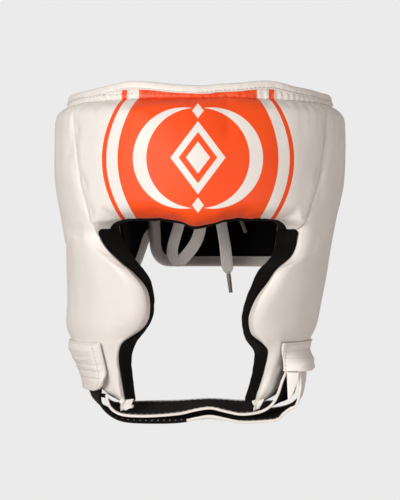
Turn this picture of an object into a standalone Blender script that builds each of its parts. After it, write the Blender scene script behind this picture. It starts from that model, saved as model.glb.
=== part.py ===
"""Boxing headgear: padded leather laid round a head form. Metres, +Z up, the face towards -Y.

Pads, flaps and tabs all lie on one head form. A place on it is a turn round the head (0 at the
front, + towards +X), a height (0 where the top of the head touches the crown flaps) and a depth,
measured outwards from the inner face of the lining.
"""
from collections import namedtuple
import math

import bmesh
import bpy
from mathutils import Vector

# Head form
HOLLOW_HALF_WIDTH = 0.085
HOLLOW_FRONT = 0.096
HOLLOW_BACK = 0.097
GUARD_DROP = 0.230
PAD_FOOT = 0.9848 * GUARD_DROP
SIDE_WALL = 0.030
FRONT_WALL = 0.035
REAR_WALL = 0.018
CORNER_FULLNESS = 0.03
GAP = 0.0004

# Pads
PAD_TOP = 0.001
BROW_DROP = 0.0885
BRIDGE_DIP = 0.006
BRIDGE_SPREAD = math.radians(9)
BROW_CORNER_DROP = 0.0080
BROW_CORNER_POWER = 11
SEAM_TOP = math.radians(55.5)
SEAM_FOOT = math.radians(45.5)
SEAM_CLEARANCE = 0.0005
PAD_ROUND = 0.013
PAD_EDGE_SHARE = 0.25
SEAM_ROUND = 0.004
SEAM_EDGE_SHARE = 0.78
LINING_SHARE = 0.40
LINING_ROUND = 0.006
LINING_EDGE_SHARE = 0.6
LINING_SHOW = 0.0020
EAR_TURN = math.radians(97)
EAR_DROP = 0.104
EAR_HALF_WIDTH = 0.014
EAR_HALF_HEIGHT = 0.026
SIDE_COLUMNS = 44

# Rear flaps
SIDE_PAD_REACH = math.radians(128)
FLAP_THICKNESS = 0.0090
FLAP_EDGE_SHARE = 0.6
FLAP_CLIMB = math.radians(14)
FLAP_LINING = 0.0022
BINDING_WIDTH = 0.0090
BINDING_PROUD = 0.0005
BINDING_CLEARANCE = 0.0010
LAYER_CLEARANCE = 0.0016
FLAP_CLEARANCE = 0.0008
RIGHT_FLAP_REACH = math.radians(209)
RIGHT_FLAP_DROP = 0.126
LEFT_FLAP_REACH = math.radians(190)
LEFT_FLAP_DROP = 0.132
NOTCH_RISE = 0.031
NOTCH_START = math.radians(145)
NOTCH_END = math.radians(155)
FLAP_CORNER = 0.020
FLAP_ROUND = 0.005
FLAP_COLUMNS = 15
END_COLUMNS = 4

# Rim and gathers
RIM_SHARE = 0.62
RIM_HEIGHT = 0.0070
RIM_THICKNESS = 0.0044
RIM_TOP = 0.0095
RIM_WAVE = 0.0045
WAVE_TURN = math.radians(28)
WAVE_SPREAD = math.radians(16)
GATHER_THICKNESS = 0.0026
GATHER_DEPTH = 0.0012
GATHER_COUNT = 44

# Crown
CROWN_SAG = 0.024
CROWN_THICKNESS = 0.003
CROWN_CLEARANCE = 0.0014
CROWN_END = math.radians(14)
LACE_GAP = 0.012
EYELET_ACROSS = 0.014
EYELET_SPACING = 0.034
EYELET_RADIUS = 0.0045
EYELET_WIRE = 0.0010
LACE_WIDTH = 0.0066
LACE_THICKNESS = 0.0016
LACE_TUBE = 0.0050
LACE_CLEARANCE = 0.0012
LOOP_SPACING = 0.0075
END_SPACING = 0.0095
KNOT_RADIUS = 0.007
KNOT_HEIGHT = 0.010

# Chin strap
STRAP_HALF_SPAN = 0.9412 * HOLLOW_HALF_WIDTH
STRAP_DROP = 1.0652 * GUARD_DROP
STRAP_FRONT = 0.5625 * HOLLOW_FRONT
STRAP_REAR = 0.010
STRAP_THICKNESS = 0.0026
STRAP_CLEARANCE = 0.0012
TAB_THICKNESS = 0.0026
TAB_STAND = 0.0048
TAB_SEAM = 0.007
TAB_LOOSE = 0.20
TAB_TOP = 0.7957 * GUARD_DROP
TAB_FOOT = 0.9630 * GUARD_DROP
TAB_BACK = math.radians(101)
KEEPER_FOOT = 0.8913 * GUARD_DROP
KEEPER_SPREAD = 0.75
KEEPER_FRONT = math.radians(44)
TAG_WIDTH = 0.008
TAG_HEIGHT = 0.0024
TAG_THICKNESS = 0.004
TAG_TURN = math.radians(43)
LEFT_TAG_DROP = 0.9950 * GUARD_DROP
RIGHT_TAG_DROP = 0.9975 * GUARD_DROP
TAG_SHARE = 0.47
TONGUE_INNER = 0.7824 * HOLLOW_HALF_WIDTH
TONGUE_WIDTH = 0.0100
TONGUE_TIP = 0.0010
TONGUE_THICKNESS = 0.0018
TONGUE_TOP = 0.8935 * GUARD_DROP
TONGUE_FOOT = 0.9957 * GUARD_DROP

# The form's sections, top to bottom. drop is a share of GUARD_DROP, width and lean of
# HOLLOW_HALF_WIDTH, front and back of the hollow's reaches, side and brow of their walls.
Section = namedtuple("Section", "drop width front back lean side brow")
FORM = [
    Section(-0.05, 0.988, 0.896, 0.866, 0.000, 1.00, 0.97),
    Section(0.00, 0.994, 0.927, 0.907, 0.000, 1.00, 0.97),
    Section(0.14, 1.000, 0.990, 0.990, 0.000, 1.00, 1.00),
    Section(0.26, 0.988, 1.000, 1.000, -0.003, 1.00, 1.00),
    Section(0.39, 0.938, 0.979, 0.990, -0.012, 0.95, 0.94),
    Section(0.49, 0.900, 0.938, 0.959, -0.019, 0.94, 0.86),
    Section(0.65, 0.894, 0.823, 0.845, -0.047, 0.83, 0.77),
    Section(0.75, 0.877, 0.720, 0.770, -0.080, 0.81, 0.73),
    Section(0.79, 0.870, 0.688, 0.742, -0.085, 0.68, 0.71),
    Section(0.89, 0.835, 0.583, 0.680, -0.082, 0.42, 0.69),
    Section(1.00, 0.776, 0.458, 0.619, -0.070, 0.38, 0.63),
]

# The face opening's edge on each side pad: drop as a share of GUARD_DROP, turn in degrees.
Edge = namedtuple("Edge", "drop turn")
OPENING_LEFT = [
    Edge(0.425, 45.0), Edge(0.455, 44.0), Edge(0.490, 39.8), Edge(0.530, 33.0), Edge(0.565, 27.4),
    Edge(0.610, 23.4), Edge(0.665, 21.8), Edge(0.720, 22.4), Edge(0.760, 26.4), Edge(0.800, 32.3),
    Edge(0.850, 36.0), Edge(0.920, 37.6), Edge(1.000, 38.8),
]
OPENING_RIGHT = [
    Edge(0.425, 45.0), Edge(0.480, 45.4), Edge(0.515, 42.6), Edge(0.555, 34.8), Edge(0.605, 31.1),
    Edge(0.650, 28.4), Edge(0.695, 27.5), Edge(0.735, 28.6), Edge(0.775, 31.2), Edge(0.800, 34.2),
    Edge(0.830, 39.0), Edge(0.890, 39.2), Edge(0.940, 38.2), Edge(1.000, 35.2),
]
# The side pads' lower and rear edge, from the cheek tip round below and behind the ear.
REAR_EDGE = [
    Edge(0.998, 44.0), Edge(0.985, 52.0), Edge(0.962, 60.0), Edge(0.935, 72.0), Edge(0.910, 84.0),
    Edge(0.880, 95.0), Edge(0.820, 104.0), Edge(0.700, 114.0), Edge(0.570, 125.0), Edge(0.480, 128.0),
    Edge(0.250, 128.0),
]

# The chin strap's stations, from its sewn left end, under the chin, round the keeper and back.
# Across values are shares of STRAP_HALF_SPAN, drops of STRAP_DROP, for its front and rear edges.
# narrow is the share of STRAP_FRONT kept, layer counts the layers from the pad outwards.
Station = namedtuple("Station", "front_across front_drop rear_across rear_drop narrow layer")
STRAP = [
    Station(-1.000, 0.775, -1.160, 0.775, 0.66, 1),
    Station(-0.960, 0.816, -1.140, 0.816, 0.68, 1),
    Station(-0.930, 0.865, -1.110, 0.865, 0.70, 1),
    Station(-0.965, 0.910, -1.100, 0.904, 0.76, 1),
    Station(-0.950, 0.945, -1.050, 0.938, 0.92, 1),
    Station(-0.850, 0.977, -0.930, 0.967, 1, 1),
    Station(-0.710, 0.995, -0.760, 0.978, 1, 1),
    Station(-0.450, 0.999, -0.480, 0.972, 1, 1),
    Station(-0.200, 0.996, -0.210, 0.970, 1, 1),
    Station(-0.040, 0.984, -0.040, 0.966, 1, 1),
    Station(0.100, 0.977, 0.100, 0.964, 1, 1),
    Station(0.240, 0.986, 0.240, 0.967, 1, 1),
    Station(0.400, 0.997, 0.400, 0.971, 1, 1),
    Station(0.600, 0.996, 0.640, 0.972, 1, 1),
    Station(0.745, 0.990, 0.790, 0.968, 1, 1),
    Station(0.800, 0.972, 0.900, 0.958, 1, 1),
    Station(0.865, 0.956, 0.960, 0.944, 1, 1.5),
    Station(0.930, 0.942, 1.010, 0.924, 1, 2),
    Station(0.965, 0.885, 1.040, 0.876, 1, 2),
    Station(0.955, 0.845, 1.050, 0.842, 1, 2),
    Station(0.930, 0.823, 1.060, 0.823, 1, 2),
    Station(0.893, 0.813, 1.040, 0.813, 1, 1.5),
    Station(0.850, 0.822, 1.000, 0.822, 1, 1),
    Station(0.822, 0.844, 0.985, 0.842, 1, 1),
    Station(0.785, 0.872, 0.955, 0.874, 1, 1),
    Station(0.748, 0.908, 0.935, 0.912, 1, 1),
    Station(0.690, 0.943, 0.840, 0.942, 1, 1),
    Station(0.580, 0.966, 0.660, 0.948, 1, 1),
    Station(0.400, 0.974, 0.400, 0.946, 1, 1),
    Station(0.240, 0.964, 0.240, 0.943, 1, 1),
    Station(0.100, 0.954, 0.100, 0.941, 1, 1),
    Station(-0.040, 0.960, -0.040, 0.943, 1, 1),
    Station(-0.200, 0.972, -0.200, 0.946, 1, 1),
    Station(-0.450, 0.979, -0.450, 0.948, 1, 1),
    Station(-0.640, 0.979, -0.690, 0.950, 1, 1),
    Station(-0.770, 0.973, -0.830, 0.953, 1, 1),
    Station(-0.855, 0.955, -0.910, 0.942, 1, 1),
    Station(-0.890, 0.930, -0.945, 0.928, 1, 1),
    Station(-0.897, 0.910, -0.960, 0.916, 1, 1),
]

# The sewn tab's outline: height as a share from its foot to its top, turns of both edges in degrees.
TabEdge = namedtuple("TabEdge", "height front back")
TAB_OUTLINE = [
    TabEdge(0.00, 56.0, 82.0), TabEdge(0.04, 51.0, 90.0), TabEdge(0.12, 47.0, 97.0),
    TabEdge(0.30, 44.5, 101.0), TabEdge(0.60, 43.5, 101.0), TabEdge(1.00, 43.0, 101.0),
]
# The keeper's path round the folded strap, from its sewn front edge: a share of the way, then
# across and forward as shares of STRAP_HALF_SPAN and STRAP_FRONT.
Bend = namedtuple("Bend", "way across forward")
KEEPER_BEND = [
    Bend(0.00, 0.800, 1.070), Bend(0.25, 0.905, 1.085), Bend(0.42, 0.985, 1.060), Bend(0.52, 1.030, 0.960),
    Bend(0.75, 1.072, 0.600), Bend(1.00, 1.105, 0.190),
]

# The hanging lace's routes in millimetres from the crown, made metres where a cord is laid.
LOOP_ROUTE = [
    (-2.9, -2.9, 0.6), (-3.4, -3.5, -14), (-7, -5, -40), (-12, -7, -65), (-16.4, -8, -90),
    (-20.6, -9, -105), (-22.2, -9, -113), (-20.6, -8.5, -119.5), (-15.5, -8, -120.5),
    (-9, -7, -114), (-3, -6, -105), (0.4, -5, -93), (1.2, -3, -70), (0, 0, -40),
    (-2.2, 2.2, -14), (-2.9, 2.9, 0.6),
]
LONG_ROUTE = [
    (2.9, -2.9, 0.6), (3.5, -4, -14), (8, -6, -40), (13, -8, -67), (17, -9, -91), (19.8, -9.5, -107),
    (21.3, -10, -121), (22.6, -10, -131),
]
SHORT_ROUTE = [
    (2.9, 2.9, 0.6), (4, 4, -12), (10, 6, -32), (18, 8, -52), (26, 9, -70), (31.5, 9, -84),
]
AGLET_LENGTH = 0.015
AGLET_RADIUS = 0.0019

WHITE = (0.88, 0.86, 0.83)
BLACK = (0.012, 0.010, 0.010)
LACE_GREY = (0.55, 0.52, 0.49)
METAL = (0.55, 0.50, 0.47)


def clear_scene():
    for item in list(bpy.data.objects):
        bpy.data.objects.remove(item, do_unlink=True)


def finish_of(name, colour, roughness, metallic=0.0):
    material = bpy.data.materials.new(name)
    material.use_nodes = True
    shader = material.node_tree.nodes["Principled BSDF"]
    shader.inputs["Base Color"].default_value = (*colour, 1.0)
    shader.inputs["Roughness"].default_value = roughness
    shader.inputs["Metallic"].default_value = metallic
    return material


def mix(a, b, share):
    return a + (b - a) * share


def ease(value):
    value = min(max(value, 0.0), 1.0)
    return value * value * (3 - 2 * value)


def crowd_ends(share):
    """Shares of an even grid moved towards both ends, where the edges are rounded."""
    return 0.5 - 0.5 * math.cos(math.pi * share)


def read_row(rows, place):
    """A table's columns at a place in its first column, on a smooth curve through the rows."""
    keys = [row[0] for row in rows]
    place = min(max(place, keys[0]), keys[-1])
    first = max(k for k in range(len(rows) - 1) if keys[k] <= place)
    step = keys[first + 1] - keys[first]
    share = (place - keys[first]) / step

    def slope(k, column):
        low = max(k - 1, 0)
        high = min(k + 1, len(rows) - 1)
        return (rows[high][column] - rows[low][column]) / (keys[high] - keys[low]) * step

    values = [place]
    for column in range(1, len(rows[0])):
        a = rows[first][column]
        b = rows[first + 1][column]
        start = slope(first, column)
        end = slope(first + 1, column)
        bend = (2 * share - 3) * share * share
        values.append(a * (1 + bend) - b * bend + start * share * (share - 1) ** 2
                      + end * share * share * (share - 1))
    return type(rows[0])(*values)


def wall_at(turn, height):
    """Thickness of lining and pad together at a place on the form."""
    row = read_row(FORM, -height / GUARD_DROP)
    across = math.sin(turn) ** 2
    along = math.cos(turn) ** 2
    end = FRONT_WALL * row.brow if math.cos(turn) > 0 else REAR_WALL
    return SIDE_WALL * row.side * across + end * along


def on_form(turn, height, depth):
    row = read_row(FORM, -height / GUARD_DROP)
    fullness = 1 + CORNER_FULLNESS * math.sin(2 * turn) ** 2
    if math.cos(turn) > 0:
        reach = HOLLOW_FRONT * row.front
    else:
        reach = HOLLOW_BACK * row.back
    x = row.lean * HOLLOW_HALF_WIDTH + (HOLLOW_HALF_WIDTH * row.width + depth) * math.sin(turn) * fullness
    y = -(reach + depth) * math.cos(turn) * fullness
    return Vector((x, y, height))


def add_piece(name, mesh, material):
    mesh.shade_smooth()
    mesh.set_sharp_from_angle(angle=math.radians(40))
    piece = bpy.data.objects.new(name, mesh)
    piece.data.materials.append(material)
    bpy.context.scene.collection.objects.link(piece)
    return piece


def close_mesh(name, work, material):
    work.normal_update()
    bmesh.ops.recalc_face_normals(work, faces=work.faces[:])
    if work.calc_volume(signed=True) < 0:
        bmesh.ops.reverse_faces(work, faces=work.faces[:])
    mesh = bpy.data.meshes.new(name)
    work.to_mesh(mesh)
    work.free()
    return add_piece(name, mesh, material)


def slab(name, columns, rows, shape, material, ring=False):
    """A closed slab: a grid, or a ring of one, given a thickness and laid by shape(u, v, w)."""
    work = bmesh.new()
    bmesh.ops.create_grid(work, x_segments=columns, y_segments=rows, size=0.5)
    if ring:
        for vert in work.verts:
            bearing = 2 * math.pi * (vert.co.x + 0.5)
            reach = 1.5 + vert.co.y
            vert.co = (reach * math.cos(bearing), reach * math.sin(bearing), 0)
        bmesh.ops.remove_doubles(work, verts=work.verts[:], dist=0.00001)
    grown = bmesh.ops.extrude_face_region(work, geom=work.faces[:], use_keep_orig=True)
    for item in grown["geom"]:
        if isinstance(item, bmesh.types.BMVert):
            item.co.z = 1
    for vert in work.verts:
        if ring:
            u = (math.atan2(vert.co.y, vert.co.x) / (2 * math.pi)) % 1.0
            v = vert.co.xy.length - 1
        else:
            u = vert.co.x + 0.5
            v = vert.co.y + 0.5
        vert.co = shape(u, v, vert.co.z)
    return close_mesh(name, work, material)


def round_off(edge, radius):
    """Share of full thickness at a distance from a rounded edge."""
    left = 1 - min(max(edge / radius, 0.0), 1.0)
    return math.sqrt(1 - left * left)


def edge_distance(place, u, v, ring=False):
    """How far a place of a patch lies from the nearest of its edges, over the form."""
    here = on_form(*place(u, v), 0.01)
    borders = [place(u, 0), place(u, 1)]
    if not ring:
        borders += [place(0, v), place(1, v)]
    return min((on_form(*border, 0.01) - here).length for border in borders)


def patch(name, columns, rows, place, depths, material, ring=False):
    """A slab on the form: place(u, v) gives turn and height, depths(turn, height, edge) both faces."""

    def shape(u, v, w):
        turn, height = place(u, v)
        inner, outer = depths(turn, height, edge_distance(place, u, v, ring))
        return on_form(turn, height, mix(inner, outer, w))

    return slab(name, columns, rows, shape, material, ring)


def near_seam(turn, height):
    """1 beside the seam between forehead and side pad, 0 away from it and below its foot."""
    seam = mix(SEAM_TOP, SEAM_FOOT, (PAD_TOP - height) / (PAD_TOP + BROW_DROP + BROW_CORNER_DROP))
    away = abs(abs(turn) - seam) * HOLLOW_FRONT
    return (1 - ease((away - SEAM_ROUND) / PAD_ROUND)) * ease((height + BROW_DROP + PAD_ROUND) / PAD_ROUND)


def pad_depths(turn, height, edge):
    inner = wall_at(turn, height) * LINING_SHARE + GAP
    full = wall_at(turn, height) - inner
    seam = near_seam(turn, height)
    left = mix(PAD_EDGE_SHARE, SEAM_EDGE_SHARE, seam)
    side = mix(left, 1, round_off(edge, mix(PAD_ROUND, SEAM_ROUND, seam)))
    top = mix(PAD_EDGE_SHARE, 1, round_off(PAD_TOP - height, PAD_ROUND))
    return inner, inner + full * min(side, top)


def lining_depths(turn, height, edge):
    outer = wall_at(turn, height) * LINING_SHARE
    return outer * (1 - mix(LINING_EDGE_SHARE, 1, round_off(edge, LINING_ROUND))), outer


def brow_height(turn):
    dip = BRIDGE_DIP * math.exp(-(turn / BRIDGE_SPREAD) ** 2)
    corner = BROW_CORNER_DROP * min(abs(turn) / SEAM_FOOT, 1) ** BROW_CORNER_POWER
    return -(BROW_DROP + dip + corner)


def brow_place(show):
    """Places of the forehead pad, or of its lining, which shows below the pad by show."""

    def place(u, v):
        v = crowd_ends(v)
        turn = (2 * crowd_ends(u) - 1) * (mix(SEAM_FOOT, SEAM_TOP, v) - SEAM_CLEARANCE / HOLLOW_FRONT)
        fade = 1 - (turn / SEAM_FOOT) ** 4
        return turn, mix(brow_height(turn) - show * max(fade, 0), PAD_TOP, v)

    return place


def side_outline(opening, side):
    """The side pad's edge as turns and heights, from the seam's top round below the ear."""
    start = opening[0].drop
    points = []
    for k in range(9):
        share = k / 8
        turn = mix(SEAM_TOP, SEAM_FOOT, share) + SEAM_CLEARANCE / HOLLOW_FRONT
        points.append((turn, mix(PAD_TOP, -start * GUARD_DROP, share)))
    for k in range(1, 25):
        row = read_row(opening, mix(start, 1, k / 24))
        points.append((math.radians(row.turn), -row.drop * GUARD_DROP))
    points += [(math.radians(row.turn), -row.drop * GUARD_DROP) for row in REAR_EDGE]
    points += [(mix(SIDE_PAD_REACH, SEAM_TOP, k / 6), PAD_TOP) for k in range(6)]
    return [(side * turn, height) for turn, height in points]


def spread_evenly(points, count):
    """The same closed outline with evenly spaced points, measured over the form."""
    closed = points + points[:1]
    flat = [Vector((turn * HOLLOW_FRONT, height)) for turn, height in closed]
    lengths = [(b - a).length for a, b in zip(flat, flat[1:])]
    total = sum(lengths)
    even = []
    passed = 0.0
    leg = 0
    for k in range(count):
        target = total * k / count
        while passed + lengths[leg] < target:
            passed += lengths[leg]
            leg += 1
        spot = flat[leg].lerp(flat[leg + 1], (target - passed) / lengths[leg])
        even.append((spot.x / HOLLOW_FRONT, spot.y))
    return even


def side_place(opening, side, count):
    """Places between the ear opening, v = 0, and the side pad's edge, v = 1."""
    outline = spread_evenly(side_outline(opening, side), count)

    def place(u, v):
        v = crowd_ends(v)
        turn, height = outline[round(u * count) % count]
        bearing = math.atan2((height + EAR_DROP) / EAR_HALF_HEIGHT,
                             (turn - side * EAR_TURN) * HOLLOW_FRONT / EAR_HALF_WIDTH)
        ear_turn = side * EAR_TURN + EAR_HALF_WIDTH / HOLLOW_FRONT * math.cos(bearing)
        ear_height = EAR_HALF_HEIGHT * math.sin(bearing) - EAR_DROP
        return mix(ear_turn, turn, v), mix(ear_height, height, v)

    return place


def right_lower(turn):
    return -RIGHT_FLAP_DROP


def left_lower(turn):
    rise = ease((abs(turn) - NOTCH_START) / (NOTCH_END - NOTCH_START))
    return -LEFT_FLAP_DROP + NOTCH_RISE * rise


def flap_edge(side, reach, lower, inset):
    """The flap's edge at a share along it: the lower edge, its round corner, then up its end."""
    end = reach - inset / HOLLOW_BACK
    radius = FLAP_CORNER - inset
    centre = reach - FLAP_CORNER / HOLLOW_BACK

    def low(turn):
        past = min(max((turn - centre) * HOLLOW_BACK, 0.0), radius)
        rolled = [lower(turn + k / 6 * inset / HOLLOW_BACK) + inset * math.sqrt(1 - k * k / 36)
                  for k in range(-6, 7)]
        return max(rolled) + radius - math.sqrt(radius * radius - past * past)

    def place(share):
        corner = FLAP_COLUMNS / (FLAP_COLUMNS + END_COLUMNS)
        if share < corner:
            turn = mix(SIDE_PAD_REACH + FLAP_CLEARANCE / HOLLOW_BACK, end, math.sin(math.pi / 2 * share / corner))
            return side * turn, low(turn)
        return side * end, mix(low(end), PAD_TOP, (share - corner) / (1 - corner))

    def inside(u, v):
        turn = mix(SIDE_PAD_REACH + FLAP_CLEARANCE / HOLLOW_BACK, end, math.sin(math.pi / 2 * u))
        return side * turn, mix(low(turn), PAD_TOP, crowd_ends(v))

    return place, inside


def rear_flap(name, side, reach, lower, layer, leather, lining):
    """A rear flap: leather over its lining, with a bound edge. layer is its place in the overlap."""

    def base(turn):
        return layer * ease((abs(turn) - SIDE_PAD_REACH) / FLAP_CLIMB)

    def leather_depths(turn, height, edge):
        inner = base(turn) + FLAP_LINING + GAP
        outer = base(turn) + FLAP_THICKNESS
        return inner, mix(inner, outer, mix(FLAP_EDGE_SHARE, 1, round_off(edge, FLAP_ROUND)))

    def flap_lining_depths(turn, height, edge):
        return base(turn), base(turn) + FLAP_LINING

    _, inside = flap_edge(side, reach, lower, BINDING_WIDTH + BINDING_CLEARANCE)
    patch("rear_flap_" + name, FLAP_COLUMNS, 4, inside, leather_depths, leather)
    patch("rear_lining_" + name, FLAP_COLUMNS, 4, inside, flap_lining_depths, lining)
    outer_edge, _ = flap_edge(side, reach, lower, 0)
    inner_edge, _ = flap_edge(side, reach, lower, BINDING_WIDTH)

    def bound(u, v, w):
        a = outer_edge(u)
        b = inner_edge(u)
        turn = mix(a[0], b[0], v)
        swell = BINDING_PROUD * math.sin(math.pi * v)
        inner = base(turn) + BINDING_PROUD - swell
        outer = base(turn) + FLAP_THICKNESS - BINDING_PROUD + swell
        return on_form(turn, mix(a[1], b[1], v), mix(inner, outer, w))

    slab("rear_binding_" + name, FLAP_COLUMNS + END_COLUMNS, 2, bound, leather)


def ring_on_form(name, steps, section, shape, material):
    """A closed ring round the form: a section turned once, then laid by shape(turn, a, b)."""
    work = bmesh.new()
    corners = [work.verts.new((1 + a, 0, b)) for a, b in section]
    loop = [work.edges.new((corners[k - 1], corners[k])) for k in range(len(corners))]
    bmesh.ops.spin(work, geom=corners + loop, cent=(0, 0, 0), axis=(0, 0, 1), dvec=(0, 0, 0),
                   angle=2 * math.pi, steps=steps, use_merge=True, use_duplicate=False)
    for vert in work.verts:
        vert.co = shape(math.atan2(vert.co.x, -vert.co.y), vert.co.xy.length - 1, vert.co.z)
    return close_mesh(name, work, material)


def rim_height(turn):
    """Height of the rim's top, which waves up beside the middle of the brow."""
    return RIM_TOP + RIM_WAVE * math.exp(-((abs(turn) - WAVE_TURN) / WAVE_SPREAD) ** 2)


def rim(leather):
    half = RIM_THICKNESS / 2
    band = [(-half, 0), (half, 0), (half, 0.7), (half * 0.5, 1), (-half * 0.5, 1), (-half, 0.7)]

    def lay_band(turn, across, up):
        top = rim_height(turn)
        return on_form(turn, top - RIM_HEIGHT * (1 - up), RIM_SHARE * wall_at(turn, 0) + across)

    ring_on_form("rim_band", 52, band, lay_band, leather)

    half = GATHER_THICKNESS / 2
    strip = [(-half, 0), (half, 0), (half, 1), (-half, 1)]

    def lay_strip(turn, across, up):
        top = rim_height(turn) - RIM_HEIGHT - GAP
        pleat = GATHER_DEPTH * math.cos(GATHER_COUNT * turn) * (1 - 0.6 * up)
        outwards = pleat if across > 0 else 0.0
        return on_form(turn, mix(PAD_TOP + GAP, top, up), RIM_SHARE * wall_at(turn, 0) + across + outwards)

    ring_on_form("gathered_strip", 2 * GATHER_COUNT, strip, lay_strip, leather)


def crown_height(x, y):
    reach = HOLLOW_FRONT if y < 0 else HOLLOW_BACK
    return -CROWN_SAG * ((x / HOLLOW_HALF_WIDTH) ** 2 + (y / reach) ** 2)


def crown_flap(name, side, leather):
    """Half of the dome over the head, from the lacing gap out to the lining's inner face."""

    def shape(u, v, w):
        turn = side * mix(CROWN_END, math.pi - CROWN_END, u)
        rim_point = on_form(turn, -CROWN_SAG + CROWN_THICKNESS * w, -CROWN_CLEARANCE)
        x = mix(side * LACE_GAP / 2, rim_point.x, v)
        y = rim_point.y
        return Vector((x, y, crown_height(x, y) + CROWN_THICKNESS * w))

    slab("crown_flap_" + name, 14, 4, shape, leather)


def crown_top(x, y):
    return crown_height(x, y) + CROWN_THICKNESS + GAP


def ribbon(name, route, width, thickness, material, columns):
    """A flat band along a smooth route, its width level and square to the route."""
    path = smooth_route(route, columns)

    def shape(u, v, w):
        k = round(u * columns)
        ahead = path[min(k + 1, columns)] - path[max(k - 1, 0)]
        across = Vector((ahead.y, -ahead.x, 0)).normalized()
        return path[k] + across * width * (v - 0.5) + Vector((0, 0, thickness * w))

    return slab(name, columns, 1, shape, material)


def smooth_route(points, count):
    """Evenly spaced points of a smooth curve through a route's own points."""
    points = [Vector(point) for point in points]
    fine = []
    for k in range(len(points) - 1):
        before = points[max(k - 1, 0)]
        a = points[k]
        b = points[k + 1]
        after = points[min(k + 2, len(points) - 1)]
        for step in range(12):
            t = step / 12
            fine.append(0.5 * (2 * a + (b - before) * t + (2 * before - 5 * a + 4 * b - after) * t ** 2
                               + (3 * a - before - 3 * b + after) * t ** 3))
    fine.append(points[-1])
    lengths = [(b - a).length for a, b in zip(fine, fine[1:])]
    total = sum(lengths)
    even = [fine[0]]
    passed = 0.0
    leg = 0
    for k in range(1, count):
        target = total * k / count
        while passed + lengths[leg] < target:
            passed += lengths[leg]
            leg += 1
        even.append(fine[leg].lerp(fine[leg + 1], (target - passed) / lengths[leg]))
    even.append(fine[-1])
    return even


def crown_lacing(lace, metal):
    number = 0
    for row in (-1, 0, 1):
        for side in (-1, 1):
            number += 1
            eyelet("crown_eyelet_%d" % number, side * EYELET_ACROSS, row * EYELET_SPACING, metal)
    seat = 2 * EYELET_WIRE + LACE_CLEARANCE
    for name, start, lift in (("a", -1, 0.0), ("b", 1, 2 * LACE_THICKNESS)):
        route = []
        for row in (-1, 0, 1):
            x = EYELET_ACROSS * (start if row != 0 else -start)
            y = row * EYELET_SPACING
            route.append((x, y, crown_top(x, y) + seat))
            if row < 1:
                y += EYELET_SPACING / 2
                route.append((0, y, crown_top(0, y) + seat + lift))
        ribbon("crown_lace_" + name, route, LACE_WIDTH, LACE_THICKNESS, lace, 18)


def eyelet(name, x, y, metal):
    """A small metal ring let into the crown flap, square to the dome there."""
    work = bmesh.new()
    made = bmesh.ops.create_circle(work, segments=4, radius=EYELET_WIRE)
    for vert in made["verts"]:
        vert.co = (EYELET_RADIUS - EYELET_WIRE + vert.co.x, 0, vert.co.y)
    bmesh.ops.spin(work, geom=work.verts[:] + work.edges[:], cent=(0, 0, 0), axis=(0, 0, 1),
                   dvec=(0, 0, 0), angle=2 * math.pi, steps=10, use_merge=True, use_duplicate=False)
    piece = close_mesh(name, work, metal)
    step = EYELET_RADIUS
    along = Vector((2 * step, 0, crown_height(x + step, y) - crown_height(x - step, y)))
    back = Vector((0, 2 * step, crown_height(x, y + step) - crown_height(x, y - step)))
    normal = along.cross(back).normalized()
    piece.location = Vector((x, y, crown_height(x, y) + CROWN_THICKNESS)) + normal * (EYELET_WIRE + GAP)
    piece.rotation_mode = "QUATERNION"
    piece.rotation_quaternion = normal.to_track_quat("Z", "Y")


def cord(name, route, spacing, material):
    """A free lace as a round tube, along a smooth curve through its route."""
    route = [Vector(point) * 0.001 for point in route]
    length = sum((b - a).length for a, b in zip(route, route[1:]))
    points = smooth_route(route, max(round(length / spacing), 4))
    curve = bpy.data.curves.new(name, "CURVE")
    curve.dimensions = "3D"
    curve.bevel_depth = LACE_TUBE / 2
    curve.bevel_resolution = 2
    curve.use_fill_caps = True
    spline = curve.splines.new("POLY")
    spline.points.add(len(points) - 1)
    for spot, point in zip(spline.points, points):
        spot.co = (*point, 1)
    curve.materials.append(material)
    piece = bpy.data.objects.new(name, curve)
    bpy.context.scene.collection.objects.link(piece)


def aglet(name, route, material):
    """The crimped end of a lace, in line with its last stretch."""
    last = Vector(route[-1]) * 0.001
    along = (last - Vector(route[-2]) * 0.001).normalized()
    work = bmesh.new()
    bmesh.ops.create_cone(work, cap_ends=True, segments=10, radius1=AGLET_RADIUS, radius2=AGLET_RADIUS * 0.8,
                          depth=AGLET_LENGTH)
    piece = close_mesh(name, work, material)
    piece.location = last + along * (AGLET_LENGTH / 2 + GAP)
    piece.rotation_mode = "QUATERNION"
    piece.rotation_quaternion = along.to_track_quat("Z", "Y")


def hanging_lace(lace, metal):
    work = bmesh.new()
    bmesh.ops.create_uvsphere(work, u_segments=12, v_segments=6, radius=1)
    bmesh.ops.scale(work, vec=(KNOT_RADIUS, KNOT_RADIUS, KNOT_HEIGHT / 2), verts=work.verts[:])
    knot = close_mesh("lace_knot", work, lace)
    half_gap = LACE_GAP / 2 / KNOT_RADIUS
    rise = KNOT_HEIGHT / 2 * math.sqrt(1 - half_gap * half_gap)
    knot.location = (0, 0, CROWN_THICKNESS + GAP + rise)
    cord("lace_loop", LOOP_ROUTE, LOOP_SPACING, lace)
    cord("lace_end_long", LONG_ROUTE, END_SPACING, lace)
    cord("lace_end_short", SHORT_ROUTE, END_SPACING, lace)
    aglet("aglet_long", LONG_ROUTE, metal)
    aglet("aglet_short", SHORT_ROUTE, metal)


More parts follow.
